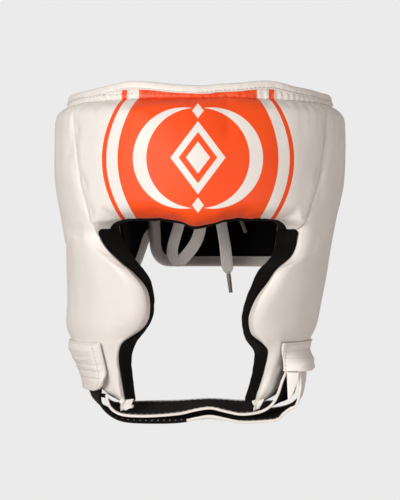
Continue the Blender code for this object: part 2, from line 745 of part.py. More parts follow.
def keep_clear(point, layer):
    """The point, or where a layer of strap would lie on the pads if it is under that."""
    if point.z < -PAD_FOOT:
        return point
    row = read_row(FORM, -point.z / GUARD_DROP)
    turn = math.atan2(point.x - row.lean * HOLLOW_HALF_WIDTH, -point.y)
    away = wall_at(turn, point.z) + STRAP_CLEARANCE + (STRAP_THICKNESS + GAP) * (layer - 0.5)
    for _ in range(8):
        spot = on_form(turn, point.z, away)
        turn += (math.atan2(point.x, -point.y) - math.atan2(spot.x, -spot.y))
    return spot if spot.xy.length > point.xy.length else point


def chin_strap(leather):
    """One strap in two layers, its edges set by the stations."""
    front = [Vector((row.front_across * STRAP_HALF_SPAN, -STRAP_FRONT * row.narrow,
                     -row.front_drop * STRAP_DROP))
             for row in STRAP]
    rear = [Vector((row.rear_across * STRAP_HALF_SPAN, -STRAP_REAR, -row.rear_drop * STRAP_DROP))
            for row in STRAP]
    columns = len(STRAP) - 1

    def middle(k, v):
        k = min(max(k, 0), columns)
        return keep_clear(front[k].lerp(rear[k], v), STRAP[k].layer)

    def shape(u, v, w):
        k = round(u * columns)
        ahead = middle(k + 1, v) - middle(k - 1, v)
        out = Vector((ahead.z, 0, -ahead.x)).normalized()
        return middle(k, v) + out * STRAP_THICKNESS * (w - 0.5)

    slab("chin_strap", columns, 3, shape, leather)


def strap_fittings(leather):
    """The sewn tab at the left and the keeper at the right, over the strap's layers."""

    def tab_place(u, v):
        row = read_row(TAB_OUTLINE, v)
        return -math.radians(mix(row.front, row.back, u)), -mix(TAB_FOOT, TAB_TOP, v)

    def tab(u, v, w):
        turn, height = tab_place(u, v)
        here = on_form(turn, height, 0.01)
        sides = [tab_place(0, v), tab_place(1, v), tab_place(u, 1)]
        edge = min((on_form(*border, 0.01) - here).length for border in sides)
        sewn = mix(1, ease(edge / TAB_SEAM), ease((v - TAB_LOOSE) / TAB_LOOSE))
        rise = mix(2 * GAP, TAB_STAND, sewn)
        return on_form(turn, height, wall_at(turn, height) + rise + TAB_THICKNESS * w)

    slab("chin_tab_left", 12, 7, tab, leather)

    def keeper(u, v, w):
        turn = mix(KEEPER_FRONT, TAB_BACK, u)
        height = -mix(KEEPER_FOOT, TAB_TOP, v)
        sewn = on_form(turn, height, wall_at(turn, height) + 2 * GAP + TAB_THICKNESS * w)
        bend = read_row(KEEPER_BEND, u)
        ahead = read_row(KEEPER_BEND, min(u + 0.02, 1))
        behind = read_row(KEEPER_BEND, max(u - 0.02, 0))
        out = Vector((STRAP_FRONT * (behind.forward - ahead.forward),
                      STRAP_HALF_SPAN * (behind.across - ahead.across), 0)).normalized()
        clear = Vector((STRAP_HALF_SPAN * bend.across, -STRAP_FRONT * bend.forward, height))
        clear += out * TAB_THICKNESS * w
        return sewn.lerp(clear, ease((1 - v) / KEEPER_SPREAD))

    slab("keeper_loop_right", 12, 6, keeper, leather)

    def tongue(u, v, w):
        width = mix(TONGUE_WIDTH, TONGUE_TIP, v ** 2.5)
        x = TONGUE_INNER + TONGUE_TIP * v + width * u
        return Vector((x, -STRAP_FRONT - 2 * GAP - TONGUE_THICKNESS * w, -mix(TONGUE_TOP, TONGUE_FOOT, v)))

    slab("keeper_tongue", 2, 6, tongue, leather)


def cheek_tag(name, side, drop, leather):
    """A small folded piece of leather let into the cheek pad's lower tip."""
    turn = side * TAG_TURN
    top = on_form(turn, -drop, wall_at(turn, -drop) * TAG_SHARE)

    def shape(u, v, w):
        return top + Vector((TAG_WIDTH * (u - 0.5), TAG_THICKNESS * (w - 0.5),
                             -GAP - TAG_HEIGHT * v))

    slab("cheek_tag_" + name, 2, 2, shape, leather)


def main():
    clear_scene()
    leather = finish_of("white_leather", WHITE, 0.45)
    lining = finish_of("black_lining", BLACK, 0.95)
    lace = finish_of("lace", LACE_GREY, 0.8)
    metal = finish_of("fittings", METAL, 0.35, 1.0)

    patch("forehead_pad", 20, 8, brow_place(0), pad_depths, leather)
    patch("lining_forehead", 20, 3, brow_place(LINING_SHOW), lining_depths, lining)
    for name, side, opening in (("left", -1, OPENING_LEFT), ("right", 1, OPENING_RIGHT)):
        place = side_place(opening, side, SIDE_COLUMNS)
        patch("side_pad_" + name, SIDE_COLUMNS, 6, place, pad_depths, leather, ring=True)
        patch("lining_" + name, SIDE_COLUMNS, 3, place, lining_depths, lining, ring=True)
        crown_flap(name, side, leather)
    cheek_tag("left", -1, LEFT_TAG_DROP, leather)
    cheek_tag("right", 1, RIGHT_TAG_DROP, leather)
    rear_flap("right", 1, RIGHT_FLAP_REACH, right_lower, 0.0, leather, lining)
    rear_flap("left", -1, LEFT_FLAP_REACH, left_lower, FLAP_THICKNESS + LAYER_CLEARANCE, leather, lining)
    rim(leather)
    crown_lacing(lace, metal)
    hanging_lace(lace, metal)
    chin_strap(leather)
    strap_fittings(leather)


main()
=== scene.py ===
"""Looks of the boxing headgear: smooth white leather pads over black brushed lining, a printed
forehead, a bound and gathered rim, a laced crown, and a chin strap folded back through its keeper.
"""
from collections import namedtuple
import math

import bmesh
import bpy
from mathutils import Matrix, Vector, noise


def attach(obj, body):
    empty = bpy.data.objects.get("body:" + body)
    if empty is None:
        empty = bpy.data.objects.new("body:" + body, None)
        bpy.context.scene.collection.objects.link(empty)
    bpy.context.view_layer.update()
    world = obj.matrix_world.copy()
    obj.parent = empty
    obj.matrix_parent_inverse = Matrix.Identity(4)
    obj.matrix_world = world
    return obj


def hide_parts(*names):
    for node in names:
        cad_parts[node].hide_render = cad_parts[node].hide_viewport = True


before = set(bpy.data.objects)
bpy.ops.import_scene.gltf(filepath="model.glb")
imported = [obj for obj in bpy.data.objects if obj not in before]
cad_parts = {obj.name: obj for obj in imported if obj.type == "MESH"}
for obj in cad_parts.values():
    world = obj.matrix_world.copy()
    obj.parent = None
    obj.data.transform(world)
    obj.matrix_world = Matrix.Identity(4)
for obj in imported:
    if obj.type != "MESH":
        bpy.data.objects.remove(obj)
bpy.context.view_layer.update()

# Camera, pale studio and light. The headgear hangs clear of the floor, seen level from the front,
# with a large soft light at the left and a weaker one low at the right.
scene = bpy.context.scene
scene.view_settings.view_transform = "Standard"
lens = bpy.data.cameras.new("camera")
lens.lens = 157.5
lens.sensor_width = 36
lens.sensor_fit = "HORIZONTAL"
camera = bpy.data.objects.new("camera", lens)
camera.location = (0, -1.4, -0.112)
camera.rotation_euler = (math.radians(90), 0, 0)
scene.collection.objects.link(camera)
scene.camera = camera


class Wire:
    """A shader value that can be added, scaled and compared like a number."""

    def __init__(self, nodes, socket):
        self.nodes = nodes
        self.socket = socket

    def maths(self, kind, a, b=0.0):
        return self.nodes.add("ShaderNodeMath", {"operation": kind}, {0: a, 1: b})

    def __add__(self, other):
        return self.maths("ADD", self, other)

    def __radd__(self, other):
        return self.maths("ADD", other, self)

    def __sub__(self, other):
        return self.maths("SUBTRACT", self, other)

    def __rsub__(self, other):
        return self.maths("SUBTRACT", other, self)

    def __mul__(self, other):
        return self.maths("MULTIPLY", self, other)

    def __rmul__(self, other):
        return self.maths("MULTIPLY", other, self)

    def __truediv__(self, other):
        return self.maths("DIVIDE", self, other)

    def __rtruediv__(self, other):
        return self.maths("DIVIDE", other, self)

    def __abs__(self):
        return self.maths("ABSOLUTE", self)

    def sine(self):
        return self.maths("SINE", self)

    def root(self):
        return self.maths("SQRT", self)

    def at_least(self, other):
        return self.maths("MAXIMUM", self, other)

    def step(self, start, end):
        """0 below start, 1 above end, smooth between."""
        return self.nodes.add("ShaderNodeMapRange", {"interpolation_type": "SMOOTHSTEP"},
                              {"Value": self, "From Min": start, "From Max": end})


class Nodes:
    """The node tree of one material."""

    def __init__(self, name):
        self.material = bpy.data.materials.new(name)
        self.material.use_nodes = True
        self.tree = self.material.node_tree
        self.shader = self.tree.nodes["Principled BSDF"]

    def add(self, kind, settings=(), sockets=(), out=0):
        node = self.tree.nodes.new(kind)
        for key, value in dict(settings).items():
            setattr(node, key, value)
        for key, value in dict(sockets).items():
            self.feed(node.inputs[key], value)
        return Wire(self, node.outputs[out])

    def feed(self, socket, value):
        if isinstance(value, Wire):
            self.tree.links.new(value.socket, socket)
        elif isinstance(value, tuple) and len(value) == 3 and socket.type == "RGBA":
            socket.default_value = (*value, 1)
        else:
            socket.default_value = value

    def finish(self, **sockets):
        for key, value in sockets.items():
            self.feed(self.shader.inputs[key.replace("_", " ")], value)
        return self.material

    def place(self, scale=(1, 1, 1), source="Object"):
        """Where the point lies on the piece, in metres, stretched by scale."""
        outputs = {"Object": 3, "UV": 2}
        spot = self.add("ShaderNodeTexCoord", out=outputs[source])
        return self.add("ShaderNodeMapping", sockets={"Vector": spot, "Scale": scale})

    def axes(self, source="Object"):
        outputs = {"Object": 3, "UV": 2}
        parts = self.tree.nodes.new("ShaderNodeSeparateXYZ")
        self.feed(parts.inputs[0], self.add("ShaderNodeTexCoord", out=outputs[source]))
        return [Wire(self, parts.outputs[k]) for k in range(3)]

    def grain(self, scale, detail=2.0, stretch=(1, 1, 1), rough=0.5, source="Object"):
        return self.add("ShaderNodeTexNoise", sockets={"Vector": self.place(stretch, source), "Scale": scale,
                                                       "Detail": detail, "Roughness": rough})

    def cells(self, scale, feature="F1", stretch=(1, 1, 1)):
        return self.add("ShaderNodeTexVoronoi", {"feature": feature},
                        {"Vector": self.place(stretch), "Scale": scale})

    def mix(self, share, a, b):
        node = self.tree.nodes.new("ShaderNodeMix")
        node.data_type = "RGBA"
        self.feed(node.inputs[0], share)
        self.feed(node.inputs[6], a)
        self.feed(node.inputs[7], b)
        return Wire(self, node.outputs[2])

    def bump(self, height, strength=0.3, distance=0.001, below=None):
        sockets = {"Height": height, "Strength": strength, "Distance": distance}
        if below:
            sockets["Normal"] = below
        return self.add("ShaderNodeBump", sockets=sockets)


def studio():
    """A pale seamless sweep far below and behind, and three soft lights."""
    work = bmesh.new()
    steps = 24
    bmesh.ops.create_grid(work, x_segments=4, y_segments=steps, size=1)
    for vert in work.verts:
        share = (vert.co.y + 1) / 2
        bend = max(share - 0.5, 0) * 2
        vert.co = (vert.co.x * 6, -4 + 6 * min(share, 0.5) * 2 + 1.5 * math.sin(bend * math.pi / 2),
                   -0.9 + 6 * (1 - math.cos(bend * math.pi / 2)))
    mesh = bpy.data.meshes.new("floor")
    work.to_mesh(mesh)
    work.free()
    mesh.shade_smooth()
    floor = bpy.data.objects.new("floor", mesh)
    scene.collection.objects.link(floor)
    nodes = Nodes("pale_paper")
    seen = nodes.add("ShaderNodeLightPath")
    glow = nodes.mix(seen, (0.36, 0.32, 0.30), (0.82, 0.82, 0.82))
    floor.data.materials.append(nodes.finish(Base_Color=(0.02, 0.02, 0.02), Roughness=0.9,
                                             Specular_IOR_Level=0.0, Emission_Color=glow,
                                             Emission_Strength=1.0))
    for name, spot, aim, size, power, colour in (
            ("key_light", (-1.30, -1.90, 0.15), (0.0, 0, -0.12), 0.9, 38, (1.0, 0.985, 0.965)),
            ("fill_light", (1.05, -1.6, -1.05), (0, 0, -0.15), 1.2, 32, (1.0, 0.95, 0.91)),
            ("top_light", (-0.2, 0.1, 1.5), (0, 0, 0), 0.8, 1.5, (1.0, 1.0, 1.0))):
        light = bpy.data.lights.new(name, "AREA")
        light.size = size
        light.energy = power
        light.color = colour
        lamp = bpy.data.objects.new(name, light)
        lamp.location = spot
        lamp.rotation_euler = (Vector(aim) - Vector(spot)).to_track_quat("-Z", "Y").to_euler()
        scene.collection.objects.link(lamp)
    world = bpy.data.worlds.new("studio_air")
    world.use_nodes = True
    tree = world.node_tree
    path = tree.nodes.new("ShaderNodeLightPath")
    air = tree.nodes.new("ShaderNodeMix")
    air.data_type = "RGBA"
    air.inputs[6].default_value = (0.33, 0.303, 0.285, 1)
    air.inputs[7].default_value = (0.82, 0.82, 0.82, 1)
    tree.links.new(path.outputs["Is Camera Ray"], air.inputs[0])
    tree.links.new(air.outputs[2], tree.nodes["Background"].inputs["Color"])
    scene.world = world


studio()

# Hanging lace: a flat woven lace of grey cotton, knotted on top of the crown. A loop and two
# ends with crimped plastic tips hang down through the gap between the crown flaps.
LACE_WIDTH = 0.0095
LACE_THICKNESS = 0.0013
LACE_TAPER = 0.006
AGLET_LENGTH = 0.015
AGLET_RADIUS = 0.0018
KNOT_HEIGHT = 0.0078
LOOP_ROUTE = [
    (-2.9, -2.9, 0.6), (-3.4, -3.5, -14), (-7, -5, -40), (-12, -7, -65), (-16.4, -8, -90),
    (-20.6, -9, -105), (-22.2, -9, -113), (-20.6, -8.5, -119.5), (-15.5, -8, -120.5),
    (-9, -7, -114), (-3, -6, -105), (0.4, -5, -93), (1.2, -3, -70), (0, 0, -40),
    (-2.2, 2.2, -14), (-2.9, 2.9, 0.6),
]
LONG_ROUTE = [
    (2.9, -2.9, 0.6), (3.5, -4, -14), (8, -6, -40), (13, -8, -67), (17, -9, -91), (19.8, -9.5, -107),
    (21.3, -10, -121), (22.6, -10, -131),
]
SHORT_ROUTE = [
    (2.9, 2.9, 0.6), (4, 4, -12), (10, 6, -32), (18, 8, -52), (26, 9, -70), (31.5, 9, -84),
]


def mix(a, b, share):
    return a + (b - a) * share


def ease(value):
    value = min(max(value, 0.0), 1.0)
    return value * value * (3 - 2 * value)


def add_piece(name, work, materials, pick=None, levels=0):
    """Closes a mesh, shades it smooth and hangs it on the frame, with a subdivision if asked."""
    work.normal_update()
    bmesh.ops.recalc_face_normals(work, faces=work.faces[:])
    if work.calc_volume(signed=True) < 0:
        bmesh.ops.reverse_faces(work, faces=work.faces[:])
    mesh = bpy.data.meshes.new(name)
    work.to_mesh(mesh)
    work.free()
    mesh.shade_smooth()
    piece = bpy.data.objects.new(name, mesh)
    for material in materials:
        piece.data.materials.append(material)
    if pick:
        for polygon in mesh.polygons:
            polygon.material_index = pick(polygon)
    scene.collection.objects.link(piece)
    if levels:
        finer = piece.modifiers.new("finer", "SUBSURF")
        finer.levels = levels
        finer.render_levels = levels
    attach(piece, "root")
    return piece


def slab(name, columns, rows, shape, materials, ring=False, walls=1, kind_of=None, levels=1):
    """A closed slab laid by shape(u, v, w), with u and v as its map. Returns it and its places."""
    work = bmesh.new()
    bmesh.ops.create_grid(work, x_segments=columns, y_segments=rows, size=0.5)
    if ring:
        for vert in work.verts:
            bearing = 2 * math.pi * (vert.co.x + 0.5)
            reach = 1.5 + vert.co.y
            vert.co = (reach * math.cos(bearing), reach * math.sin(bearing), 0)
        bmesh.ops.remove_doubles(work, verts=work.verts[:], dist=0.00001)
    faces = work.faces[:]
    for wall in range(walls):
        grown = bmesh.ops.extrude_face_region(work, geom=faces, use_keep_orig=(wall == 0))
        faces = [item for item in grown["geom"] if isinstance(item, bmesh.types.BMFace)]
        for item in grown["geom"]:
            if isinstance(item, bmesh.types.BMVert):
                item.co.z = (wall + 1) / walls
    places = []
    for vert in work.verts:
        if ring:
            u = (math.atan2(vert.co.y, vert.co.x) / (2 * math.pi)) % 1.0
            v = vert.co.xy.length - 1
        else:
            u = vert.co.x + 0.5
            v = vert.co.y + 0.5
        places.append((u, v, vert.co.z))
    work.verts.index_update()
    layer = work.loops.layers.uv.new("UVMap")
    for face in work.faces:
        low = [places[loop.vert.index][0] for loop in face.loops]
        wrapped = max(low) - min(low) > 0.5
        for loop in face.loops:
            u, v, _ = places[loop.vert.index]
            loop[layer].uv = (u + 1 if wrapped and u < 0.5 else u, v)
    for vert in work.verts:
        vert.co = shape(*places[vert.index])

    def pick(polygon):
        at = [places[k] for k in polygon.vertices]
        return kind_of(*[sum(spot[axis] for spot in at) / len(at) for axis in range(3)])

    return add_piece(name, work, materials, pick if kind_of else None, levels), places


def smooth_route(points, count):
    """Evenly spaced points of a smooth curve through a route's own points."""
    points = [Vector(point) for point in points]
    fine = []
    for k in range(len(points) - 1):
        before = points[max(k - 1, 0)]
        a = points[k]
        b = points[k + 1]
        after = points[min(k + 2, len(points) - 1)]
        for step in range(12):
            t = step / 12
            fine.append(0.5 * (2 * a + (b - before) * t + (2 * before - 5 * a + 4 * b - after) * t ** 2
                               + (3 * a - before - 3 * b + after) * t ** 3))
    fine.append(points[-1])
    lengths = [(b - a).length for a, b in zip(fine, fine[1:])]
    total = sum(lengths)
    even = [fine[0]]
    passed = 0.0
    leg = 0
    for k in range(1, count):
        target = total * k / count
        while passed + lengths[leg] < target:
            passed += lengths[leg]
            leg += 1
        even.append(fine[leg].lerp(fine[leg + 1], (target - passed) / lengths[leg]))
    even.append(fine[-1])
    return even


def woven_cotton():
    nodes = Nodes("lace_weave")
    along, across, _ = nodes.axes("UV")
    ribs_and_groove_shade = (across * 2 * math.pi * 7).sine()
    weave = (along * 900).sine() * (across * 2 * math.pi * 14).sine()
    cloudy = nodes.grain(120, 3)
    # The rib wave also shades the colour: painted shade, darker in the grooves between the ribs and lighter on
    # their crests.
    colour = nodes.mix(cloudy * 0.7 + ribs_and_groove_shade * 0.12, (0.66, 0.61, 0.58), (0.90, 0.85, 0.81))
    return nodes.finish(Base_Color=colour, Roughness=0.85, Sheen_Weight=0.25,
                        Normal=nodes.bump(ribs_and_groove_shade * 0.6 + weave * 0.4 + cloudy, 0.8, 0.0005))


def flat_lace(name, route, material, taper):
    """A flat lace facing the front, along a smooth curve through its route."""
    route = [Vector(point) * 0.001 for point in route]
    columns = round(sum((b - a).length for a, b in zip(route, route[1:])) / 0.0022)
    path = smooth_route(route, columns)

    def shape(u, v, w):
        k = round(u * columns)
        ahead = (path[min(k + 1, columns)] - path[max(k - 1, 0)]).normalized()
        twist = 0.35 * math.sin(9 * u + 1.2)
        face = Vector((math.sin(twist), -math.cos(twist), 0))
        across = ahead.cross(face).normalized()
        face = across.cross(ahead)
        left = (columns - k) / columns * (path[0] - path[1]).length * columns
        narrow = max(0.24, math.sqrt(1 - (1 - min(left / LACE_TAPER, 1)) ** 2)) if taper else 1
        crown = 1 - (2 * v - 1) ** 4 * 0.6
        half = LACE_THICKNESS * crown * (w - 0.5)
        return path[k] + across * LACE_WIDTH * narrow * (v - 0.5) + face * half

    piece, _ = slab(name, columns, 8, shape, [material], levels=1)
    return piece, path


def aglet(name, route, material):
    last = Vector(route[-1]) * 0.001
    along = (last - Vector(route[-2]) * 0.001).normalized()
    work = bmesh.new()
    turned = along.to_track_quat("Z", "Y").to_matrix().to_4x4()
    bmesh.ops.create_cone(work, cap_ends=True, segments=20, radius1=AGLET_RADIUS, radius2=AGLET_RADIUS * 0.82,
                          depth=AGLET_LENGTH, matrix=Matrix.Translation(last + along * AGLET_LENGTH / 2) @ turned)
    ends = [edge for edge in work.edges if len(edge.link_faces) == 2 and
            max(len(face.verts) for face in edge.link_faces) > 4]
    bmesh.ops.bevel(work, geom=ends, offset=0.0004, segments=3, affect="EDGES", profile=0.5, material=-1)
    return add_piece(name, work, [material])


def hanging_lace():
    cotton = woven_cotton()
    nodes = Nodes("crimped_tip")
    tip = nodes.finish(Base_Color=nodes.mix(nodes.grain(300, 2), (0.17, 0.14, 0.13), (0.27, 0.23, 0.21)),
                       Roughness=0.38, Normal=nodes.bump(nodes.grain(500, 2, (1, 1, 0.2)), 0.4, 0.0004))
    for name, route in (("long", LONG_ROUTE), ("short", SHORT_ROUTE)):
        aglet("aglet_%s_tip" % name, route, tip)
        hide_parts("aglet_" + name)
    for name, route, far_end, node in (("loop", LOOP_ROUTE, "object", "lace_loop"),
                                       ("long_end", LONG_ROUTE, "fitting", "lace_end_long"),
                                       ("short_end", SHORT_ROUTE, "fitting", "lace_end_short")):
        piece, path = flat_lace("woven_" + name, route, cotton, far_end == "fitting")
        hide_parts(node)
        length = sum((b - a).length for a, b in zip(path, path[1:]))
        tuple(path[0])
        [tuple(point) for point in path]
    knot_route = []
    for k in range(49):
        turn = 2 * math.pi * k / 48
        reach = 0.0030 + 0.0014 * math.cos(3 * turn)
        knot_route.append(Vector((reach * math.cos(2 * turn), reach * math.sin(2 * turn),
                                  KNOT_HEIGHT + 0.0018 * math.sin(3 * turn))))

    def wind(u, v):
        k = round(u * 48) % 48
        ahead = (knot_route[(k + 1) % 48] - knot_route[k - 1]).normalized()
        side = ahead.cross(Vector((0, 0, 1))).normalized()
        across = 0.0021 * math.cos(2 * math.pi * v)
        rise = 0.0013 * math.sin(2 * math.pi * v) + 0.0002 * math.sin(10 * math.pi * u)
        return knot_route[k] + side * across + side.cross(ahead) * rise

    work = bmesh.new()
    bmesh.ops.create_grid(work, x_segments=48, y_segments=10, size=0.5)
    for vert in work.verts:
        vert.co = wind(vert.co.x + 0.5, vert.co.y + 0.5)
    bmesh.ops.remove_doubles(work, verts=work.verts[:], dist=0.00001)
    knot = add_piece("lace_top_knot", work, [cotton], levels=1)
    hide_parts("lace_knot")
    return cotton


cotton = hanging_lace()

# Pads: foam pads under smooth white leather, one at the forehead and one at each side, sewn
# together at the front seams, each with a black brushed lining glued to its inner face.
HOLLOW_HALF_WIDTH = 0.085
HOLLOW_FRONT = 0.096
HOLLOW_BACK = 0.097
GUARD_DROP = 0.230
SIDE_WALL = 0.030
FRONT_WALL = 0.035
REAR_WALL = 0.018
CORNER_FULLNESS = 0.03
PAD_TOP = 0.001
BROW_DROP = 0.0885
BRIDGE_DIP = 0.006
BRIDGE_SPREAD = math.radians(9)
BROW_CORNER_DROP = 0.0080
BROW_CORNER_POWER = 11
SEAM_TOP = math.radians(55.5)
SEAM_FOOT = math.radians(45.5)
SEAM_CLEARANCE = 0.0001
PAD_ROUND = 0.013
PAD_EDGE_SHARE = 0.25
SEAM_ROUND = 0.0030
SEAM_EDGE_SHARE = 0.87
LINING_SHARE = 0.40
LINING_ROUND = 0.006
LINING_EDGE_SHARE = 0.6
LINING_SHOW = 0.0020
EAR_TURN = math.radians(97)
EAR_DROP = 0.104
EAR_HALF_WIDTH = 0.014
EAR_HALF_HEIGHT = 0.026
SIDE_PAD_REACH = math.radians(128)
PAD_STEP = 0.0001
WRAP_INSET = 0.0017
WRAP_REACH = 0.0060
SKIN = 0.0013
Wrap = namedtuple("Wrap", "drop left right")
WRAP = [
    Wrap(0.40, 1.0, 1.0), Wrap(0.53, 1.0, 1.0), Wrap(0.58, 0.6, 1.0), Wrap(0.62, 0.2, 0.7),
    Wrap(0.68, 0.05, 0.35), Wrap(0.74, 0.0, 0.25), Wrap(0.77, 0.4, 0.3), Wrap(0.80, 0.9, 0.9),
    Wrap(0.83, 1.0, 1.0), Wrap(1.00, 1.0, 1.0),
]

Section = namedtuple("Section", "drop width front back lean side brow")
FORM = [
    Section(-0.05, 0.988, 0.896, 0.866, 0.000, 1.00, 0.97),
    Section(0.00, 0.994, 0.927, 0.907, 0.000, 1.00, 0.97),
    Section(0.14, 1.000, 0.990, 0.990, 0.000, 1.00, 1.00),
    Section(0.26, 0.988, 1.000, 1.000, -0.003, 1.00, 1.00),
    Section(0.39, 0.938, 0.979, 0.990, -0.012, 0.95, 0.94),
    Section(0.49, 0.900, 0.938, 0.959, -0.019, 0.94, 0.86),
    Section(0.65, 0.894, 0.823, 0.845, -0.047, 0.83, 0.77),
    Section(0.75, 0.877, 0.720, 0.770, -0.080, 0.81, 0.73),
    Section(0.79, 0.870, 0.688, 0.742, -0.085, 0.68, 0.71),
    Section(0.89, 0.835, 0.583, 0.680, -0.082, 0.42, 0.69),
    Section(1.00, 0.776, 0.458, 0.619, -0.070, 0.38, 0.63),
]
Edge = namedtuple("Edge", "drop turn")
OPENING_LEFT = [
    Edge(0.425, 45.0), Edge(0.455, 44.0), Edge(0.490, 39.8), Edge(0.530, 33.0), Edge(0.565, 27.4),
    Edge(0.610, 23.4), Edge(0.665, 21.8), Edge(0.720, 22.4), Edge(0.760, 26.4), Edge(0.800, 32.3),
    Edge(0.850, 36.0), Edge(0.920, 37.6), Edge(1.000, 38.8),
]
OPENING_RIGHT = [
    Edge(0.425, 45.0), Edge(0.480, 45.4), Edge(0.515, 42.6), Edge(0.555, 34.8), Edge(0.605, 31.1),
    Edge(0.650, 28.4), Edge(0.695, 27.5), Edge(0.735, 28.6), Edge(0.775, 31.2), Edge(0.800, 34.2),
    Edge(0.830, 39.0), Edge(0.890, 39.2), Edge(0.940, 38.2), Edge(1.000, 35.2),
]
REAR_EDGE = [
    Edge(0.998, 44.0), Edge(0.985, 52.0), Edge(0.962, 60.0), Edge(0.935, 72.0), Edge(0.910, 84.0),
    Edge(0.880, 95.0), Edge(0.820, 104.0), Edge(0.700, 114.0), Edge(0.570, 125.0), Edge(0.480, 128.0),
    Edge(0.250, 128.0),
]


def read_row(rows, place):
    """A table's columns at a place in its first column, on a smooth curve through the rows."""
    keys = [row[0] for row in rows]
    place = min(max(place, keys[0]), keys[-1])
    first = max(k for k in range(len(rows) - 1) if keys[k] <= place)
    step = keys[first + 1] - keys[first]
    share = (place - keys[first]) / step
    bend = (2 * share - 3) * share * share
    values = [place]
    for column in range(1, len(rows[0])):
        slopes = []
        for k in (first, first + 1):
            low = max(k - 1, 0)
            high = min(k + 1, len(rows) - 1)
            slopes.append((rows[high][column] - rows[low][column]) / (keys[high] - keys[low]) * step)
        values.append(rows[first][column] * (1 + bend) - rows[first + 1][column] * bend
                      + slopes[0] * share * (share - 1) ** 2 + slopes[1] * share * share * (share - 1))
    return type(rows[0])(*values)


def wall_at(turn, height):
    row = read_row(FORM, -height / GUARD_DROP)
    end = FRONT_WALL * row.brow if math.cos(turn) > 0 else REAR_WALL
    return SIDE_WALL * row.side * math.sin(turn) ** 2 + end * math.cos(turn) ** 2


def on_form(turn, height, depth):
    """A place by its turn round the head from the front, its height and its depth outwards."""
    row = read_row(FORM, -height / GUARD_DROP)
    fullness = 1 + CORNER_FULLNESS * math.sin(2 * turn) ** 2
    reach = HOLLOW_FRONT * row.front if math.cos(turn) > 0 else HOLLOW_BACK * row.back
    return Vector((row.lean * HOLLOW_HALF_WIDTH
                   + (HOLLOW_HALF_WIDTH * row.width + depth) * math.sin(turn) * fullness,
                   -(reach + depth) * math.cos(turn) * fullness, height))


def crowd_ends(share):
    return 0.5 - 0.5 * math.cos(math.pi * share)


def round_off(edge, radius):
    """Share of full thickness at a distance from a rounded edge."""
    left = 1 - min(max(edge / radius, 0.0), 1.0)
    return math.sqrt(1 - left * left)


def edge_distance(place, u, v, ring=False):
    here = on_form(*place(u, v), 0.01)
    borders = [place(u, 0), place(u, 1)]
    if not ring:
        borders += [place(0, v), place(1, v)]
    return min((on_form(*border, 0.01) - here).length for border in borders)


def near_seam(turn, height):
    seam = mix(SEAM_TOP, SEAM_FOOT, (PAD_TOP - height) / (PAD_TOP + BROW_DROP + BROW_CORNER_DROP))
    away = abs(abs(turn) - seam) * HOLLOW_FRONT
    return (1 - ease((away - SEAM_ROUND) / PAD_ROUND)) * ease((height + BROW_DROP + PAD_ROUND) / PAD_ROUND)


def folds(turn, height):
    """Soft wrinkles of the leather: puckers under the rim, folds by the right temple, slow waves."""
    from_top = PAD_TOP - height
    spot = Vector((turn * 9, height * 30, 0))
    pucker = noise.noise(Vector((turn * 26, height * 8, 3))) * 0.0011 * math.exp(-from_top / 0.014)
    temple = math.exp(-((turn - math.radians(69)) / math.radians(11)) ** 2) * math.exp(-from_top / 0.038)
    fold = -0.0019 * temple * (0.5 + 0.5 * math.cos(turn * 58 + 5 * height + 2.0))
    left = math.exp(-((turn + math.radians(72)) / math.radians(14)) ** 2) * math.exp(-from_top / 0.030)
    fold -= 0.0006 * left * (0.5 + 0.5 * math.cos(turn * 44 - 9 * height))
    cheek = math.exp(-((height + 0.176) / 0.010) ** 2) * math.exp(-((abs(turn) - 0.62) / 0.16) ** 2)
    fold += 0.0006 * cheek * math.sin(height * 900 + turn * 16)
    return pucker + fold + 0.0005 * noise.noise(spot)


def pad_depths(turn, height, edge):
    full_wall = wall_at(turn, height)
    inner = full_wall * LINING_SHARE + PAD_STEP
    full = full_wall - inner
    seam = near_seam(turn, height)
    left = mix(PAD_EDGE_SHARE, SEAM_EDGE_SHARE, seam)
    side = mix(left, 1, round_off(edge, mix(PAD_ROUND, SEAM_ROUND, seam)))
    top = mix(PAD_EDGE_SHARE, 1, round_off(PAD_TOP - height, PAD_ROUND))
    return inner, inner + full * min(side, top) + folds(turn, height) * ease(edge / 0.006)


def fuzz(turn, height, size):
    return size * noise.noise(Vector((turn * 90, height * 900, 1)))


def lining_depths(turn, height, edge):
    outer = wall_at(turn, height) * LINING_SHARE
    inner = outer * (1 - mix(LINING_EDGE_SHARE, 1, round_off(edge, LINING_ROUND)))
    return inner + fuzz(turn, height, 0.0002), outer


def patch(name, columns, rows, place, depths, materials, ring=False, levels=1):
    def shape(u, v, w):
        turn, height = place(u, v)
        inner, outer = depths(turn, height, edge_distance(place, u, v, ring))
        return on_form(turn, height, mix(inner, outer, w))

    return slab(name, columns, rows, shape, materials, ring, levels=levels)


def brow_height(turn):
    dip = BRIDGE_DIP * math.exp(-(turn / BRIDGE_SPREAD) ** 2)
    corner = BROW_CORNER_DROP * min(abs(turn) / SEAM_FOOT, 1) ** BROW_CORNER_POWER
    wavy = 0.0009 * noise.noise(Vector((turn * 11, 0, 0))) + 0.0005 * noise.noise(Vector((turn * 34, 5, 0)))
    return -(BROW_DROP + dip + corner) + wavy


def brow_place(show):
    def place(u, v):
        v = crowd_ends(v)
        turn = (2 * crowd_ends(u) - 1) * (mix(SEAM_FOOT, SEAM_TOP, v) - SEAM_CLEARANCE / HOLLOW_FRONT)
        fade = max(1 - (turn / SEAM_FOOT) ** 4, 0)
        ragged = 0.0007 * noise.noise(Vector((turn * 50, 9, 0))) if show else 0
        return turn, mix(brow_height(turn) - (show + ragged) * fade, PAD_TOP, v)

    return place


